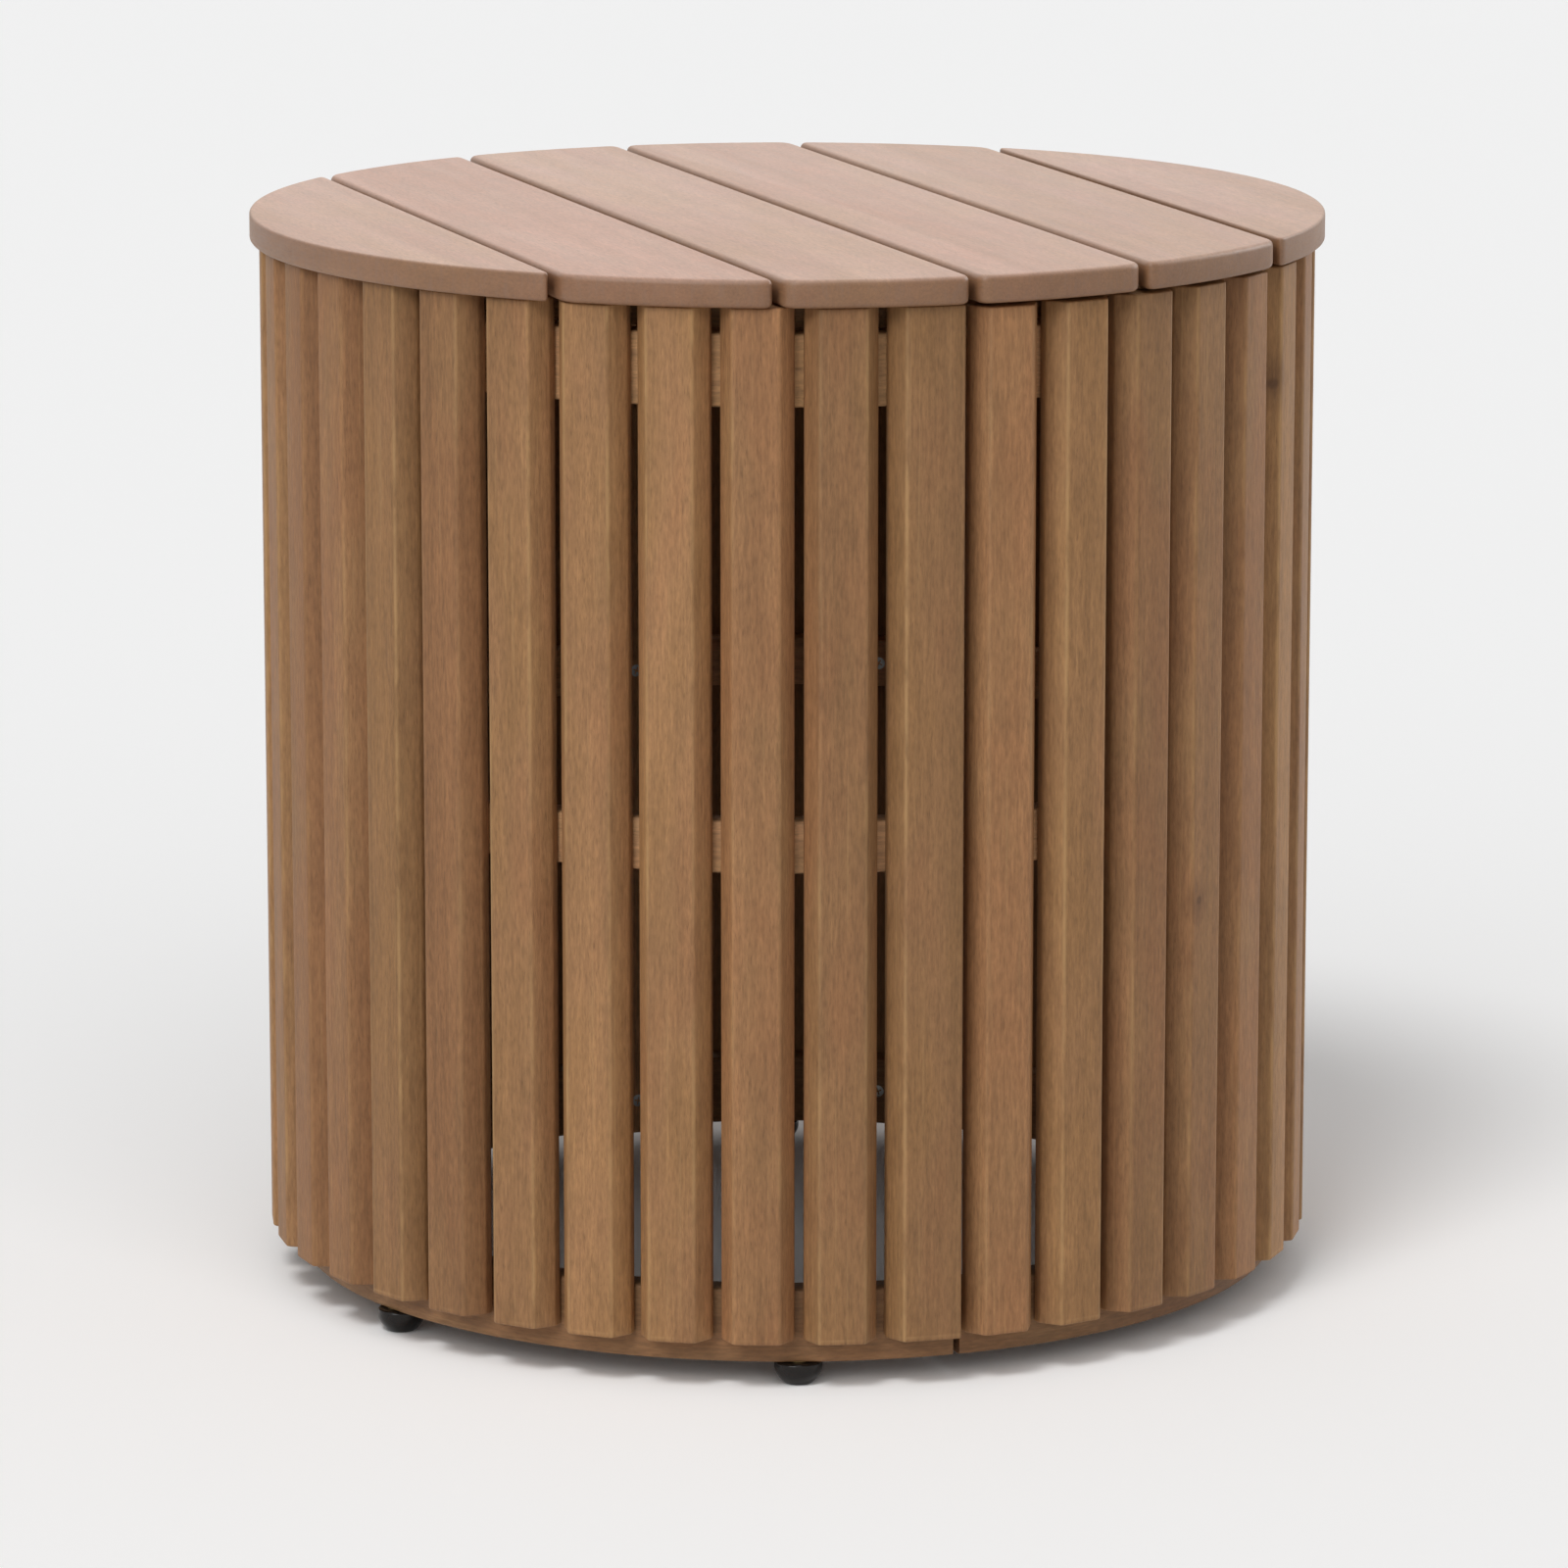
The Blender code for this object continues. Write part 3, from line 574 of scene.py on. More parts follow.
def slatMesh(name, low, high, squareRight=False):
    s = slatSettings
    body = prism(slatOutline(squareRight), low, high, s["endEase"])
    bevelArris = low + s["endEase"]
    for height in (bevelArris + s["footShineHeight"] / 3, bevelArris + s["footShineHeight"]):
        everything = [*body.verts, *body.edges, *body.faces]
        bmesh.ops.bisect_plane(body, geom=everything, plane_co=(0, 0, height), plane_no=(0, 0, 1))
    sortParts(body)
    mesh = meshFrom(body, name, smoothAngle=40)

    def shineAt(p):
        # Painted highlight, strongest along the front arrises and along the arris just above the slat's
        # foot
        if p.y > -s["front"] + 0.003:
            return 0.0
        arris = 1.0 - abs(abs(p.x) - s["flat"] / 2) / s["arrisShineWidth"]
        foot = 0.8 - abs(p.z - bevelArris) / s["footShineHeight"]
        return max(0.0, arris, foot)
    # The edge value carries the painted arris highlight to the wood
    storeValues(mesh, "edge", "FLOAT", [shineAt(v.co) for v in mesh.vertices])
    return mesh


def newGroup(name, sockets, result):
    # Geometry node group with the given inputs, by name and kind, and one geometry output.
    tree = bpy.data.node_groups.new(name, "GeometryNodeTree")
    for label, kind in sockets.items():
        tree.interface.new_socket(name=label, in_out="INPUT", socket_type=f"NodeSocket{kind}")
    tree.interface.new_socket(name=result, in_out="OUTPUT", socket_type="NodeSocketGeometry")
    given = tree.nodes.new("NodeGroupInput").outputs
    return tree, given, tree.nodes.new("NodeGroupOutput").inputs[result]


def linkedNode(tree, kind, sources):
    node = tree.nodes.new(kind)
    for socket, source in sources.items():
        plug(tree, source, node.inputs[socket])
    return node.outputs[0]


def ringAngle(tree, given):
    # Angle of each copy about the axis, from its place in the row.
    index = tree.nodes.new("GeometryNodeInputIndex").outputs[0]
    return mathNode(tree, "MULTIPLY_ADD", index, given["Pitch"], given["Start"])


def randomNode(tree, kind, low, high, seed):
    node = tree.nodes.new("FunctionNodeRandomValue")
    node.data_type = kind
    lowest, highest, value = {
        "FLOAT": ("Min_001", "Max_001", "Value_001"), "FLOAT_VECTOR": ("Min", "Max", "Value"),
    }[kind]
    for socket in node.inputs:
        if socket.identifier == lowest:
            socket.default_value = low
        elif socket.identifier == highest:
            socket.default_value = high
    plug(tree, seed, node.inputs["Seed"])
    return next(s for s in node.outputs if s.identifier == value)


def finishGroup(tree, geometry, material, result):
    whole = linkedNode(tree, "GeometryNodeRealizeInstances", {"Geometry": geometry})
    coated = linkedNode(tree, "GeometryNodeSetMaterial", {"Geometry": whole, "Material": material})
    plug(tree, coated, result)


def ringTree():
    # Copies the incoming shape round the axis, each with its own stretch of wood, tone, level and drop.
    tree, given, result = newGroup("slatRing", {
        "Slat": "Geometry", "Count": "Int", "Start": "Float", "Pitch": "Float", "Drop": "Float",
        "Seed": "Int", "Wood": "Material",
    }, "Wall")

    def chance(kind, low, high, seedStep):
        return randomNode(tree, kind, low, high, mathNode(tree, "ADD", given["Seed"], seedStep))

    def store(geometry, name, kind, domain, value):
        node = tree.nodes.new("GeometryNodeStoreNamedAttribute")
        node.data_type = kind
        node.domain = domain
        node.inputs["Name"].default_value = name
        plug(tree, geometry, node.inputs["Geometry"])
        plug(tree, value, node.inputs["Value"])
        return node.outputs["Geometry"]

    position = tree.nodes.new("GeometryNodeInputPosition").outputs[0]
    shape = store(given["Slat"], "grain", "FLOAT_VECTOR", "POINT", position)
    drop = mathNode(tree, "MULTIPLY", chance("FLOAT", -1.0, 0.0, 1), given["Drop"])
    place = linkedNode(tree, "ShaderNodeCombineXYZ", {"Z": drop})
    turn = linkedNode(tree, "ShaderNodeCombineXYZ", {"Z": ringAngle(tree, given)})
    points = linkedNode(tree, "GeometryNodePoints", {"Count": given["Count"], "Position": place})
    made = linkedNode(
        tree, "GeometryNodeInstanceOnPoints", {"Points": points, "Instance": shape, "Rotation": turn},
    )
    level = chance("FLOAT", -1.0, 1.0, slatSettings["levelSeed"])
    for name, kind, value in (
        ("shift", "FLOAT_VECTOR", chance("FLOAT_VECTOR", (-3, -3, -3), (3, 3, 3), 2)),
        ("tone", "FLOAT", chance("FLOAT", 0.0, 1.0, 3)),
        ("level", "FLOAT", level),
    ):
        made = store(made, name, kind, "INSTANCE", value)
    finishGroup(tree, made, given["Wood"], result)
    return tree


def setInputs(modifier, values):
    for item in modifier.node_group.interface.items_tree:
        if item.item_type == "SOCKET" and item.in_out == "INPUT" and item.name in values:
            modifier[item.identifier] = values[item.name]


def slatRing(name, tree, mesh, count, startBearing, seed):
    s = slatSettings
    item = bpy.data.objects.new(name, mesh)
    modifier = item.modifiers.new("Ring of slats", "NODES")
    modifier.node_group = tree
    setInputs(modifier, {
        "Count": count, "Start": math.radians(startBearing), "Pitch": math.radians(s["pitch"]),
        "Drop": s["drop"], "Seed": seed, "Wood": slatWood,
    })
    bpy.context.scene.collection.objects.link(item)
    return bakeModifiers(item)


knotList = [
    {"bearing": 31.5, "across": -0.006, "height": 0.229, "size": 0.75},
    {"bearing": 49.5, "across": -0.0145, "height": 0.479, "size": 0.9},
    {"bearing": 211.5, "across": 0.003, "height": 0.330, "size": 1.1},
]


def markKnots(item):
    # Gives the slats that hold a knot coordinates measured from it.
    away, held = [], []
    for vertex in item.data.vertices:
        here = vertex.co
        place, holds = (1.0, 1.0, 1.0), 0.0
        for mark in knotList:
            apart = math.remainder(bearingOf(here) - mark["bearing"], 360)
            if abs(apart) < slatSettings["pitch"] / 2:
                across = here.dot(onCircle(1, mark["bearing"] + 90)) - mark["across"]
                depth = here.dot(onCircle(1, mark["bearing"])) - slatSettings["front"]
                place = Vector((across, depth, here.z - mark["height"])) / mark["size"]
                holds = 1.0
        away.extend(place)
        held.append(holds)
    storeValues(item.data, "knot", "FLOAT_VECTOR", away)
    storeValues(item.data, "knotted", "FLOAT", held)


def makeSlats():
    tree = ringTree()
    fixedLow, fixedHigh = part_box("front_left_slat_rack")
    doorLow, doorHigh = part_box("door_slat_01")
    racks = ["back_right_slat_rack", "back_left_slat_rack", "front_left_slat_rack"]
    wallSlat = slatMesh("wallSlat", fixedLow.z, fixedHigh.z)
    splitSlat = slatMesh("splitSlat", fixedLow.z, fixedHigh.z, squareRight=True)
    doorSlat = slatMesh("doorSlat", doorLow.z, doorHigh.z)
    wall = slatRing("wall_slats", tree, wallSlat, **slatRings["wall"])
    split = slatRing("split_slat", tree, splitSlat, **slatRings["split"])
    door = slatRing("door_slats", tree, doorSlat, **slatRings["door"])
    for item, body in ((wall, "table_body"), (split, "table_body"), (door, "door")):
        markKnots(item)
        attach(item, body)
    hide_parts(*racks)
    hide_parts("front_left_slat_rack")
    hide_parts(*[f"door_slat_{i + 1:02d}" for i in range(slatRings["door"]["count"])])


makeSlats()
print("slats made")


# Curved bars: rails and cleats

railSettings = {
    "inner": 0.238, "outer": 0.254, "edge": 0.0016, "step": 1.5, "seed": 101,
    "boreRadius": 0.0045, "boreRoof": 0.003, "borePassing": 0.002,
}
cleatSettings = {
    "count": 4, "inner": 0.212, "outer": 0.2365, "edge": 0.0015, "endGap": 0.08, "seed": 140,
}
battenSettings = {"inner": 0.2265, "outer": 0.2375, "edge": 0.0015, "seed": 150}
railBoxes = [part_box(f"door_{level}_rail") for level in ("top", "middle", "bottom")]
railCentres = [(low.z + high.z) / 2 for low, high in railBoxes]
boreTop = railBoxes[2][1].z - railSettings["boreRoof"]
footCount = 6
footPlaces = [sum(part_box(f"foot_pad_{i + 1}"), Vector()) / 2 for i in range(footCount)]
footBearings = [bearingOf(place) for place in footPlaces]
footRing = 0.246


def curvedBar(name, inner, outer, start, end, low, high, edge, seed, upright=False, wood=litRailWood):
    # Bar with eased edges, bent about the table's axis between two bearings.
    section = roundedOutline([
        (inner, low, edge), (outer, low, edge), (outer, high, edge), (inner, high, edge),
    ], turnStep=30)
    count = max(2, round((end - start) / railSettings["step"]))
    body = bmesh.new()
    rings = []
    for i in range(count + 1):
        bearing = start + (end - start) * i / count
        rings.append([body.verts.new(onCircle(radius, bearing, height)) for radius, height in section])
    for near, far in zip(rings, rings[1:]):
        for k in range(len(section)):
            n = (k + 1) % len(section)
            body.faces.new((near[k], near[n], far[n], far[k]))
    body.faces.new(rings[0])
    body.faces.new(list(reversed(rings[-1])))
    mesh = meshFrom(body, name)
    middle = (start + end) / 2

    def toGrain(p):
        turn = math.radians(math.remainder(bearingOf(p) - middle, 360))
        along = (inner + outer) / 2 * turn
        radius = math.hypot(p.x, p.y)
        return Vector((along, radius, p.z)) if upright else Vector((p.z, radius, along))
    layGrain(mesh, toGrain, seed)
    return newObject(name, mesh, wood)


def barBearings(node):
    # A bar's end bearings, read from the CAD node's own points.
    turns = [bearingOf(v.co) for v in frame["nodes"][node].data.vertices]
    middle = bearingOf(sum((onCircle(1, turn) for turn in turns), Vector()))
    apart = [math.remainder(turn - middle, 360) for turn in turns]
    return middle + min(apart), middle + max(apart)


def addTurned(body, profile, steps, bearing):
    # Adds a turned solid to a body, upright at a foot's place on the ring.
    one = turnedBody(profile, steps)
    bmesh.ops.translate(one, verts=one.verts, vec=onCircle(footRing, bearing))
    scratch = bpy.data.meshes.new("turned")
    one.to_mesh(scratch)
    one.free()
    body.from_mesh(scratch)


def cutAway(item, body):
    # Takes a body out of an object.
    tool = newObject("cutTool", meshFrom(body, "cutTool"))
    cut = item.modifiers.new("Cut", "BOOLEAN")
    cut.operation = "DIFFERENCE"
    cut.object = tool
    bakeModifiers(item)
    bpy.data.objects.remove(tool, do_unlink=True)


def boreForFeet(item, start, end, low):
    radius, under = railSettings["boreRadius"], low - railSettings["borePassing"]
    bore = [(0, boreTop), (radius, boreTop), (radius, under), (0, under)]
    cutter = bmesh.new()
    for bearing in footBearings:
        if start < bearing < end:
            addTurned(cutter, bore, 32, bearing)
    cutAway(item, cutter)


def makeRails():
    s = railSettings
    inner, outer, edge, seed = s["inner"], s["outer"], s["edge"], s["seed"]
    panels = {
        "door": "door", "back_right": "table_body", "back_left": "table_body",
        "front_left": "table_body",
    }
    for panel, body in panels.items():
        start, end = barBearings(f"{panel}_top_rail")
        for level in ("top", "middle", "bottom"):
            low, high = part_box("door_middle_rail" if level == "middle" else f"{panel}_{level}_rail")
            # Bottom bars take the darker wood with painted shade, the others the paler wood with
            # painted light
            bar = curvedBar(
                f"{panel}_{level}_bar", inner, outer, start, end, low.z, high.z, edge, seed,
                wood=shadedRingWood if level == "bottom" else litRailWood,
            )
            seed += 1
            if level == "bottom" and body == "table_body":
                boreForFeet(bar, start, end, low.z)
            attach(bar, body)
            if level == "middle" and body == "table_body":
                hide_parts(f"{panel}_slat_rack")
            else:
                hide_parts(f"{panel}_{level}_rail")


def makeCleats():
    s = cleatSettings
    share = 360 / s["count"]
    for i in range(s["count"]):
        node = f"top_cleat_{i + 1}"
        low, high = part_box(node)
        start, end = share * i + s["endGap"], share * (i + 1) - s["endGap"]
        bar = curvedBar(
            f"cleat_{i + 1}", s["inner"], s["outer"], start, end, low.z, high.z, s["edge"],
            s["seed"] + i,
        )
        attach(bar, "table_body")
        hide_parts(node)


def makeBattens():
    s = battenSettings
    for i, node in enumerate(("back_joining_batten", "left_joining_batten")):
        low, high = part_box(node)
        start, end = barBearings(node)
        bar = curvedBar(
            f"{node}_bar", s["inner"], s["outer"], start, end, low.z, high.z, s["edge"],
            s["seed"] + i, upright=True,
        )
        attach(bar, "table_body")
        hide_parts(node)


makeRails()
makeCleats()
makeBattens()
print("rails, cleats and battens made")


# Feet: moulded pads, threaded stems and brass inserts

footSettings = {
    "pitch": 0.00125, "threadDepth": 0.00055, "radius": 0.0040, "foot": 0.0081,
    "columns": 24, "rowsPerTurn": 6, "shoulder": 0.0014,
}
padSocket = [(0.0, 0.0035), (0.0050, 0.0035), (0.0050, 0.0085), (0.0043, 0.0085)]
padBowl = [
    (0.0120, 0.0080), (0.0117, 0.0064), (0.0110, 0.0048), (0.0100, 0.0033), (0.0088, 0.0019),
    (0.0078, 0.0008), (0.0070, 0.0002), (0.0061, 0.0), (0.0, 0.0),
]
stemFlange = [
    (0, 0.0082), (0.0045, 0.0082), (0.0047, 0.0080), (0.0047, 0.0040), (0.0045, 0.0038), (0, 0.0038),
]
insertSettings = {"bore": 0.0042, "sleeve": 0.00446, "flange": 0.0072, "proud": 0.0002}


def padProfile():
    # Socket, neck and rounded rim, then the bowl-shaped side down to a small flat sole.
    low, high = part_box("foot_pad_1")
    rim, top, soft = (high.x - low.x) / 2, high.z, footSettings["shoulder"]
    turns = [math.pi / 2 * k / 5 for k in range(6)]
    shoulder = [(rim - soft + soft * math.sin(a), top - soft + soft * math.cos(a)) for a in turns]
    return padSocket + [(padSocket[-1][0], top)] + shoulder + padBowl


def makePads():
    for i, bearing in enumerate(footBearings):
        body = turnedBody(padProfile(), steps=56)
        bmesh.ops.translate(body, verts=body.verts, vec=onCircle(footRing, bearing))
        bmesh.ops.remove_doubles(body, verts=body.verts, dist=1e-7)
        pad = newObject(f"foot_{i + 1}_moulded_pad", meshFrom(body, "pad", smoothAngle=32), footNylon)
        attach(pad, f"foot_{i + 1}_pad")
        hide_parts(f"foot_pad_{i + 1}")


def threadBody(low, high, radius):
    # Rolled thread: the radius follows a wave that climbs one pitch a turn and fades out at both ends.
    s = footSettings
    columns, pitch, threadDepth = s["columns"], s["pitch"], s["threadDepth"]
    body = bmesh.new()
    rows = math.ceil((high - low) / pitch * s["rowsPerTurn"])
    rings = []
    for r in range(rows + 1):
        height = low + (high - low) * r / rows
        full = max(0.0, min(1.0, (high - height) / pitch, (height - low) / pitch))
        ring = []
        for c in range(columns):
            phase = (height / pitch - c / columns) % 1.0
            here = radius - threadDepth * (abs(2 * phase - 1) * full + 0.4 * (1 - full))
            angle = math.tau * c / columns
            ring.append(body.verts.new((here * math.cos(angle), here * math.sin(angle), height)))
        rings.append(ring)
    for lower, upper in zip(rings, rings[1:]):
        for c in range(columns):
            n = (c + 1) % columns
            body.faces.new((lower[c], lower[n], upper[n], upper[c]))
    body.faces.new(list(reversed(rings[0])))
    body.faces.new(rings[-1])
    return body


def makeStems():
    s = footSettings
    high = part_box("foot_stem_1")[1]
    flange = meshFrom(turnedBody(stemFlange, steps=32), "flange")
    for i, bearing in enumerate(footBearings):
        body = threadBody(s["foot"], high.z, s["radius"])
        body.from_mesh(flange)
        bmesh.ops.translate(body, verts=body.verts, vec=onCircle(footRing, bearing))
        mesh = meshFrom(body, "stem", smoothAngle=50)
        stem = newObject(f"foot_{i + 1}_threaded_stem", mesh, yellowZinc)
        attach(stem, f"foot_{i + 1}_stem")
        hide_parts(f"foot_stem_{i + 1}")


def makeInserts():
    s = insertSettings
    bore, sleeve, flange, proud = s["bore"], s["sleeve"], s["flange"], s["proud"]
    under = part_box("front_left_bottom_rail")[0].z
    profile = [
        (bore, boreTop), (sleeve, boreTop), (sleeve, under + proud), (flange, under + proud),
        (flange, under), (flange - proud, under - proud), (bore, under - proud),
    ]
    body = bmesh.new()
    for bearing in footBearings:
        addTurned(body, profile, 32, bearing)
    inserts = newObject("threaded_inserts", meshFrom(body, "inserts", smoothAngle=30), hingeBrass)
    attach(inserts, "table_body")


makePads()
makeStems()
makeInserts()
print("feet made")


# Metal fittings: CAD shapes, merged and smoothed, with small eased edges

fittings = {
    "hinge": (hingeBrass, "hinge_brass"), "bracket": (zincSteel, "bracket_steel"),
    "strike": (zincSteel, "bracket_steel"), "magnet": (footNylon, "black_nylon"),
}
fittingSettings = {"merge": 1e-6, "flat": 1, "ease": 0.00018, "easeFrom": 50, "smoothTo": 35}


def makeFittings():
    s = fittingSettings
    for node, source in frame["nodes"].items():
        kind = next((word for word in fittings if word in node), None)
        if kind is None:
            continue
        material, slotName = fittings[kind]
        body = bmesh.new()
        body.from_mesh(source.data)
        bmesh.ops.remove_doubles(body, verts=body.verts, dist=s["merge"])
        bmesh.ops.dissolve_limit(
            body, angle_limit=math.radians(s["flat"]), verts=body.verts, edges=body.edges,
        )
        item = newObject(f"{node}_finished", meshFrom(body, node, smoothAngle=30), material)
        ease = item.modifiers.new("Eased edges", "BEVEL")
        ease.width = s["ease"]
        ease.segments = 2
        ease.limit_method = "ANGLE"
        ease.angle_limit = math.radians(s["easeFrom"])
        bakeModifiers(item)
        item.data.shade_smooth()
        item.data.set_sharp_from_angle(angle=math.radians(s["smoothTo"]))
        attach(item, source["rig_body"])
        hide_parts(node)


makeFittings()
print("fittings made")


# Screws: one head with a cross recess, set out in rings by a node tree

screwSettings = {
    "radius": 0.0034, "proud": 0.00025, "depth": 0.0022, "slot": 0.0008, "cross": 0.0042,
    "maxSpin": 1.5,
    "cleatRing": 0.224, "shelfRing": 0.222, "shelfThickness": 0.002, "legThickness": 0.0025,
    "legHeight": 0.009,
}


def screwHead():
    # Countersunk head that looks up along Z, with its face just proud of z = 0.
    s = screwSettings
    radius, proud, depth = s["radius"], s["proud"], s["depth"]
    profile = [(0, proud), (radius * 0.8, proud), (radius, 0.0), (radius * 0.45, -depth), (0, -depth)]
    mesh = meshFrom(turnedBody(profile, steps=18), "screwHead", smoothAngle=25)
    head = newObject("screwHead", mesh, zincSteel)
    size = Matrix.Diagonal((s["cross"], s["slot"], depth * 0.5, 1.0))
    for turn in (0, math.pi / 2):
        bar = bmesh.new()
        bmesh.ops.create_cube(bar, size=1.0)
        place = Matrix.Rotation(turn, 4, "Z") @ Matrix.Translation((0, 0, proud)) @ size
        bmesh.ops.transform(bar, matrix=place, verts=bar.verts)
        cutAway(head, bar)
    mesh = head.data
    bpy.data.objects.remove(head, do_unlink=True)
    return mesh


def screwTree():
    # Copies the incoming screw round the axis, facing inwards or down, each stopped at a chance angle.
    tree, given, result = newGroup("screwRing", {
        "Screw": "Geometry", "Radius": "Float", "Height": "Float", "Start": "Float", "Pitch": "Float",
        "Tilt": "Float", "Count": "Int", "Seed": "Int", "Metal": "Material",
    }, "Screws")
    angle = ringAngle(tree, given)

    def across(operation, sign):
        reach = mathNode(tree, "MULTIPLY", mathNode(tree, operation, angle), given["Radius"])
        return mathNode(tree, "MULTIPLY", reach, sign)
    place = linkedNode(tree, "ShaderNodeCombineXYZ", {
        "X": across("SINE", 1.0), "Y": across("COSINE", -1.0), "Z": given["Height"],
    })
    facing = linkedNode(tree, "ShaderNodeCombineXYZ", {"X": given["Tilt"], "Z": angle})
    points = linkedNode(tree, "GeometryNodePoints", {"Count": given["Count"], "Position": place})
    copies = linkedNode(tree, "GeometryNodeInstanceOnPoints", {
        "Points": points, "Instance": given["Screw"], "Rotation": facing,
    })
    spin = randomNode(tree, "FLOAT", 0.0, screwSettings["maxSpin"], given["Seed"])
    turn = linkedNode(tree, "ShaderNodeCombineXYZ", {"Z": spin})
    turned = linkedNode(tree, "GeometryNodeRotateInstances", {"Instances": copies, "Rotation": turn})
    finishGroup(tree, turned, given["Metal"], result)
    return tree


def screwRing(tree, head, ring):
    item = bpy.data.objects.new("screwRing", head.copy())
    modifier = item.modifiers.new("Ring of screws", "NODES")
    modifier.node_group = tree
    setInputs(modifier, {
        "Radius": ring["radius"], "Height": ring["height"], "Start": math.radians(ring["start"]),
        "Pitch": math.radians(ring["pitch"]), "Count": ring["count"], "Seed": ring["seed"],
        "Tilt": math.pi if ring["faces"] == "down" else -math.pi / 2, "Metal": zincSteel,
    })
    bpy.context.scene.collection.objects.link(item)
    bakeModifiers(item)
    mesh = item.data
    bpy.data.objects.remove(item, do_unlink=True)
    return mesh


def screwPlaces():
    # Rows of screws in the wall's rails, cleats, brackets and battens, by the body they ride on.
    s = screwSettings
    bracketLow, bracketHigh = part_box("top_bracket_1")
    once = {"pitch": 1, "count": 1}
    wall = {"radius": railSettings["inner"], "start": 94.5, "pitch": 9, "count": 30, "faces": "in"}
    cleat = {
        "radius": s["cleatRing"], "height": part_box("top_cleat_1")[0].z, "start": 6, "pitch": 12,
        "count": 30, "faces": "down", "seed": 7,
    }
    shelf = dict(once, radius=s["shelfRing"], height=bracketHigh.z - s["shelfThickness"], faces="down")
    leg = dict(
        once, radius=railSettings["inner"] - s["legThickness"], height=bracketLow.z + s["legHeight"],
        faces="in",
    )
    batten = {"radius": battenSettings["inner"], "pitch": 4, "count": 2, "faces": "in"}
    fixed, door = [], []
    for seed, height in enumerate(railCentres, 1):
        fixed.append(dict(wall, height=height, seed=seed))
        door.append(dict(wall, height=height, start=4.5, count=10, seed=seed + 10))
    fixed.append(cleat)
    for bearing in (135, 225, 315):
        fixed.append(dict(shelf, start=bearing, seed=bearing))
        fixed.append(dict(leg, start=bearing, seed=bearing + 1))
    for bearing in (180, 270):
        for height in railCentres:
            seed = bearing + int(height * 90)
            fixed.append(dict(batten, height=height, start=bearing - 2, seed=seed))
    return {"table_body": fixed, "door": door}


def makeScrews():
    tree, head = screwTree(), screwHead()
    for body, rings in screwPlaces().items():
        whole = bmesh.new()
        for ring in rings:
            whole.from_mesh(screwRing(tree, head, ring))
        screws = newObject(f"{body}_screws", meshFrom(whole, "screws", smoothAngle=30), zincSteel)
        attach(screws, body)


makeScrews()
print("screws made")


# Stage, light and camera

stageSettings = {"size": 30, "seen": 0.965, "bounce": 0.72, "roughness": 0.9, "world": 0.89}


def backdropSeen(tree):
    # 1 where the camera sees the backdrop, or sees it in a shiny or clear surface.
    path = tree.nodes.new("ShaderNodeLightPath")
    seen = mathNode(tree, "MAXIMUM", path.outputs["Is Camera Ray"], path.outputs["Is Glossy Ray"])
    return mathNode(tree, "MAXIMUM", seen, path.outputs["Is Transmission Ray"])


def makeStage():
    # The floor looks almost white, and throws a little less light back at the table than that.
    s = stageSettings
    body = bmesh.new()
    bmesh.ops.create_grid(body, x_segments=1, y_segments=1, size=s["size"])
    floor = newObject("floor", meshFrom(body, "floor"))
    material, tree, shader = newMaterial("paleFloor")
    pale = mixColour(tree, backdropSeen(tree), (s["bounce"],) * 3, (s["seen"],) * 3)
    plug(tree, pale, shader.inputs["Base Color"])
    shader.inputs["Roughness"].default_value = s["roughness"]
    shader.inputs["Specular IOR Level"].default_value = 0.0
    floor.data.materials.append(material)
    return floor


def makeWorld():
    # The studio's dome gives a little more light from the front than from behind.
    world = bpy.data.worlds.new("studio")
    bpy.context.scene.world = world
    world.use_nodes = True
    tree = world.node_tree
    background = tree.nodes["Background"]
    look = lightSettings["dome"]
    towards = tree.nodes.new("ShaderNodeTexCoord").outputs["Generated"]
    ahead = vectorNode(tree, "DOT_PRODUCT", towards, tuple(onCircle(1, look["bearing"])))
    dome = rangeNode(tree, ahead, -0.7, 0.7, look["back"], look["front"])
    seen = backdropSeen(tree)
    unseen = mathNode(tree, "SUBTRACT", 1.0, seen)
    strength = mathNode(tree, "ADD", seen, mathNode(tree, "MULTIPLY", unseen, dome))
    plug(tree, strength, background.inputs["Strength"])
    background.inputs["Color"].default_value = (*(stageSettings["world"],) * 3, 1)


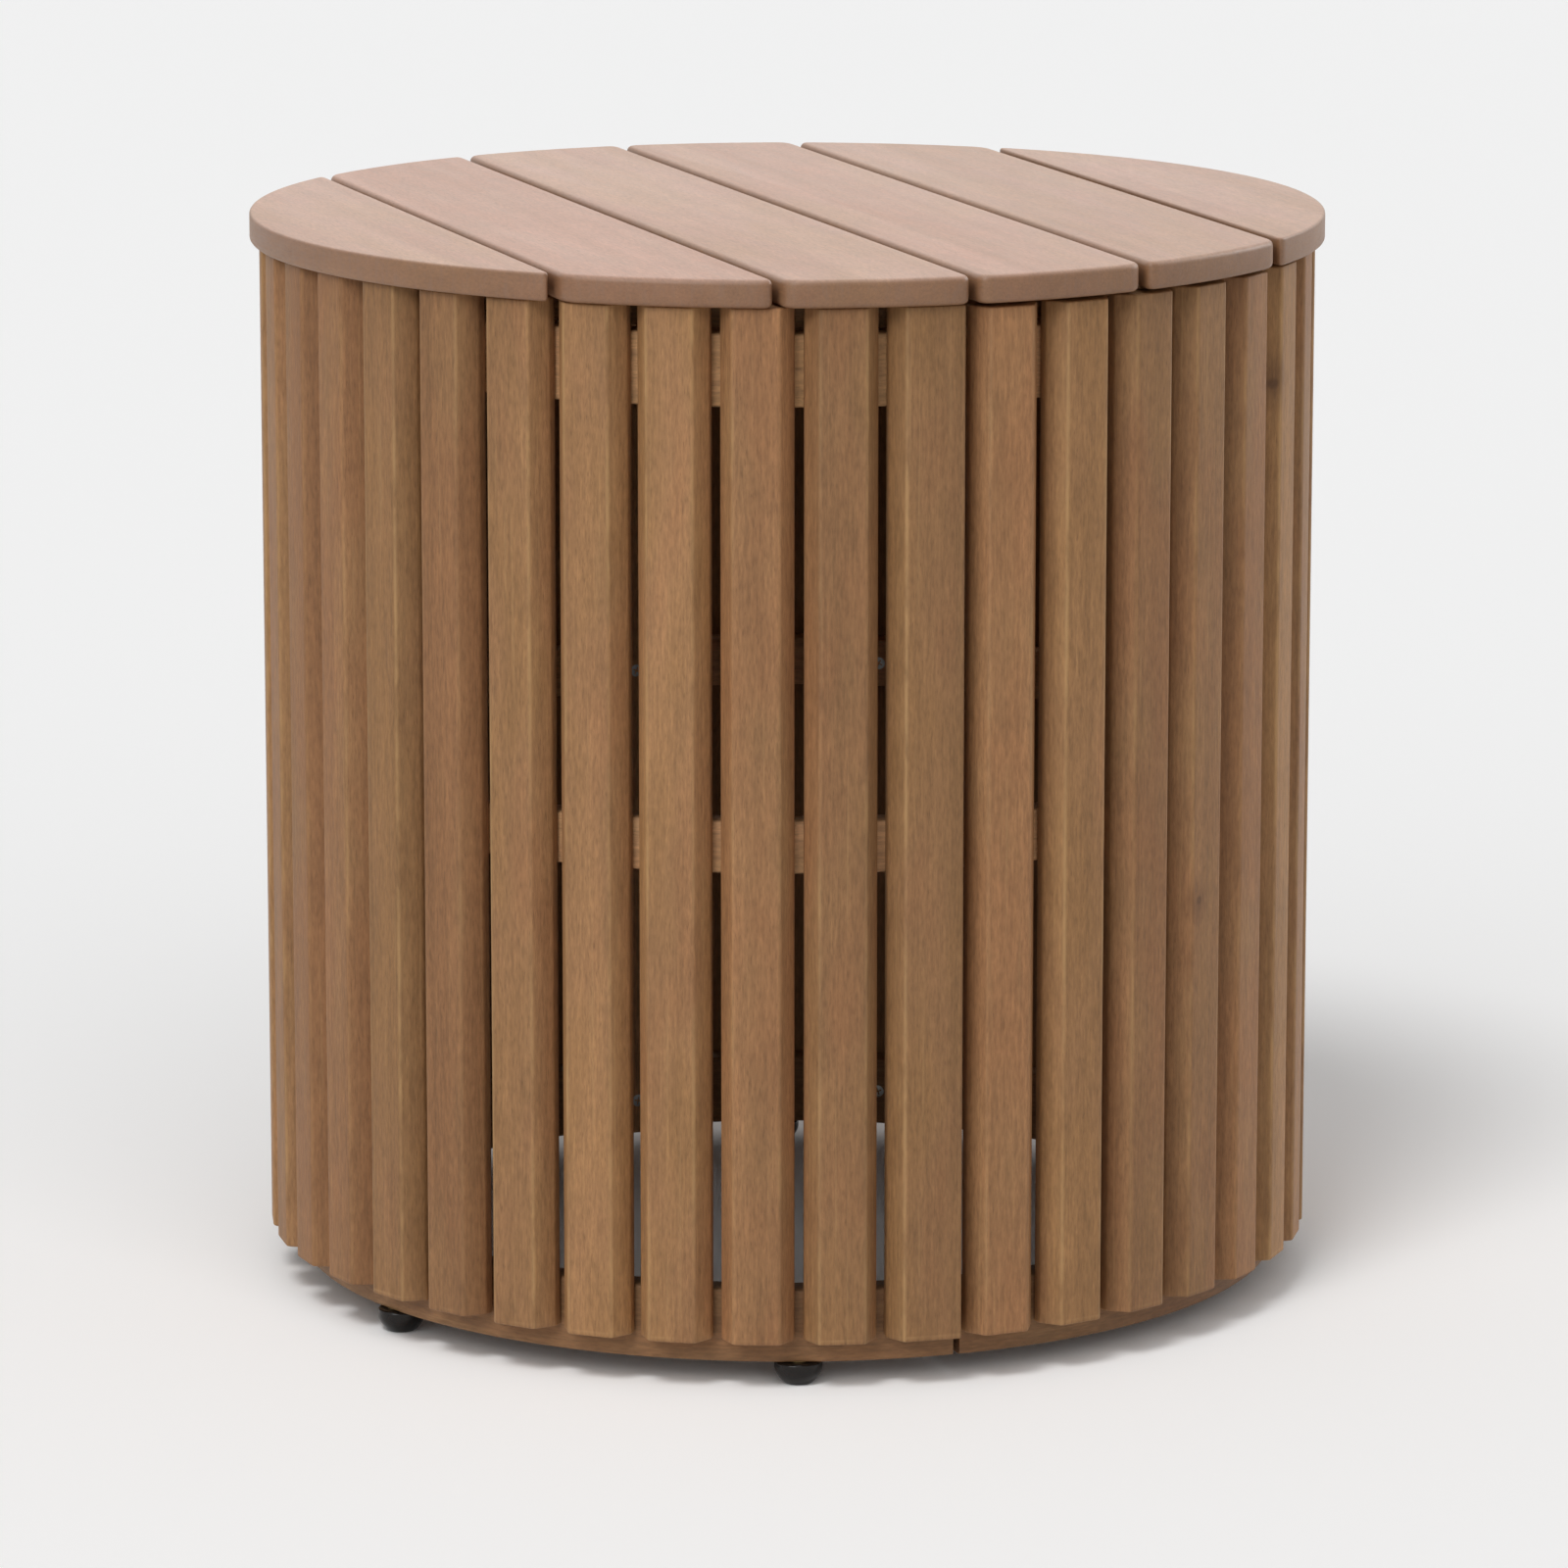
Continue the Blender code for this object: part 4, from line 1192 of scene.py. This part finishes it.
lightSettings = {
    "dome": {"bearing": -20, "front": 0.42, "back": 0.37},
    "tableSide": {"bearing": -51, "height": 35, "strength": 1.15, "spread": 30},
    "tableTop": {"bearing": -60, "height": 76, "strength": 0.50, "spread": 40},
    "tableRim": {"bearing": 104, "height": 22, "strength": 1.02, "spread": 30},
    "floorKey": {"bearing": -42, "height": 56, "strength": 1.12, "spread": 18},
    "floorFill": {"bearing": -22, "height": 31, "strength": 1.58, "spread": 80},
}
lampDistance = 3


def sunLight(name, floor):
    # Distant lamp for the table or for the floor alone; a wide spread gives a soft shadow.
    look = lightSettings[name]
    data = bpy.data.lights.new(name, "SUN")
    data.energy = look["strength"]
    data.angle = math.radians(look["spread"])
    item = bpy.data.objects.new(name, data)
    lift = math.radians(look["height"])
    item.location = onCircle(math.cos(lift), look["bearing"], math.sin(lift)) * lampDistance
    item.rotation_euler = (-item.location).to_track_quat("-Z", "Y").to_euler()
    bpy.context.scene.collection.objects.link(item)
    lit = bpy.data.collections.new(f"{name}Receivers")
    lit.objects.link(floor)
    linking = lit.collection_objects[0].light_linking
    linking.link_state = "INCLUDE" if name.startswith("floor") else "EXCLUDE"
    item.light_linking.receiver_collection = lit


cameraSettings = {
    "bearing": -19.3, "distance": 4.0, "height": 1.071, "aimHeight": 0.252, "aimSide": -0.00165,
    "lens": 180.3, "sensor": 36,
}


def makeCamera():
    s = cameraSettings
    data = bpy.data.cameras.new("photoCamera")
    data.lens = s["lens"]
    data.sensor_width = s["sensor"]
    camera = bpy.data.objects.new("photoCamera", data)
    camera.location = onCircle(s["distance"], s["bearing"], s["height"])
    aim = onCircle(s["aimSide"], s["bearing"] + 90, s["aimHeight"])
    camera.rotation_euler = (aim - camera.location).to_track_quat("-Z", "Y").to_euler()
    bpy.context.scene.collection.objects.link(camera)
    bpy.context.scene.camera = camera


studioFloor = makeStage()
makeWorld()
for lampName in ("tableSide", "tableTop", "tableRim", "floorKey", "floorFill"):
    sunLight(lampName, studioFloor)
makeCamera()
bpy.context.scene.view_settings.view_transform = "Standard"
print("stage, light and camera made")
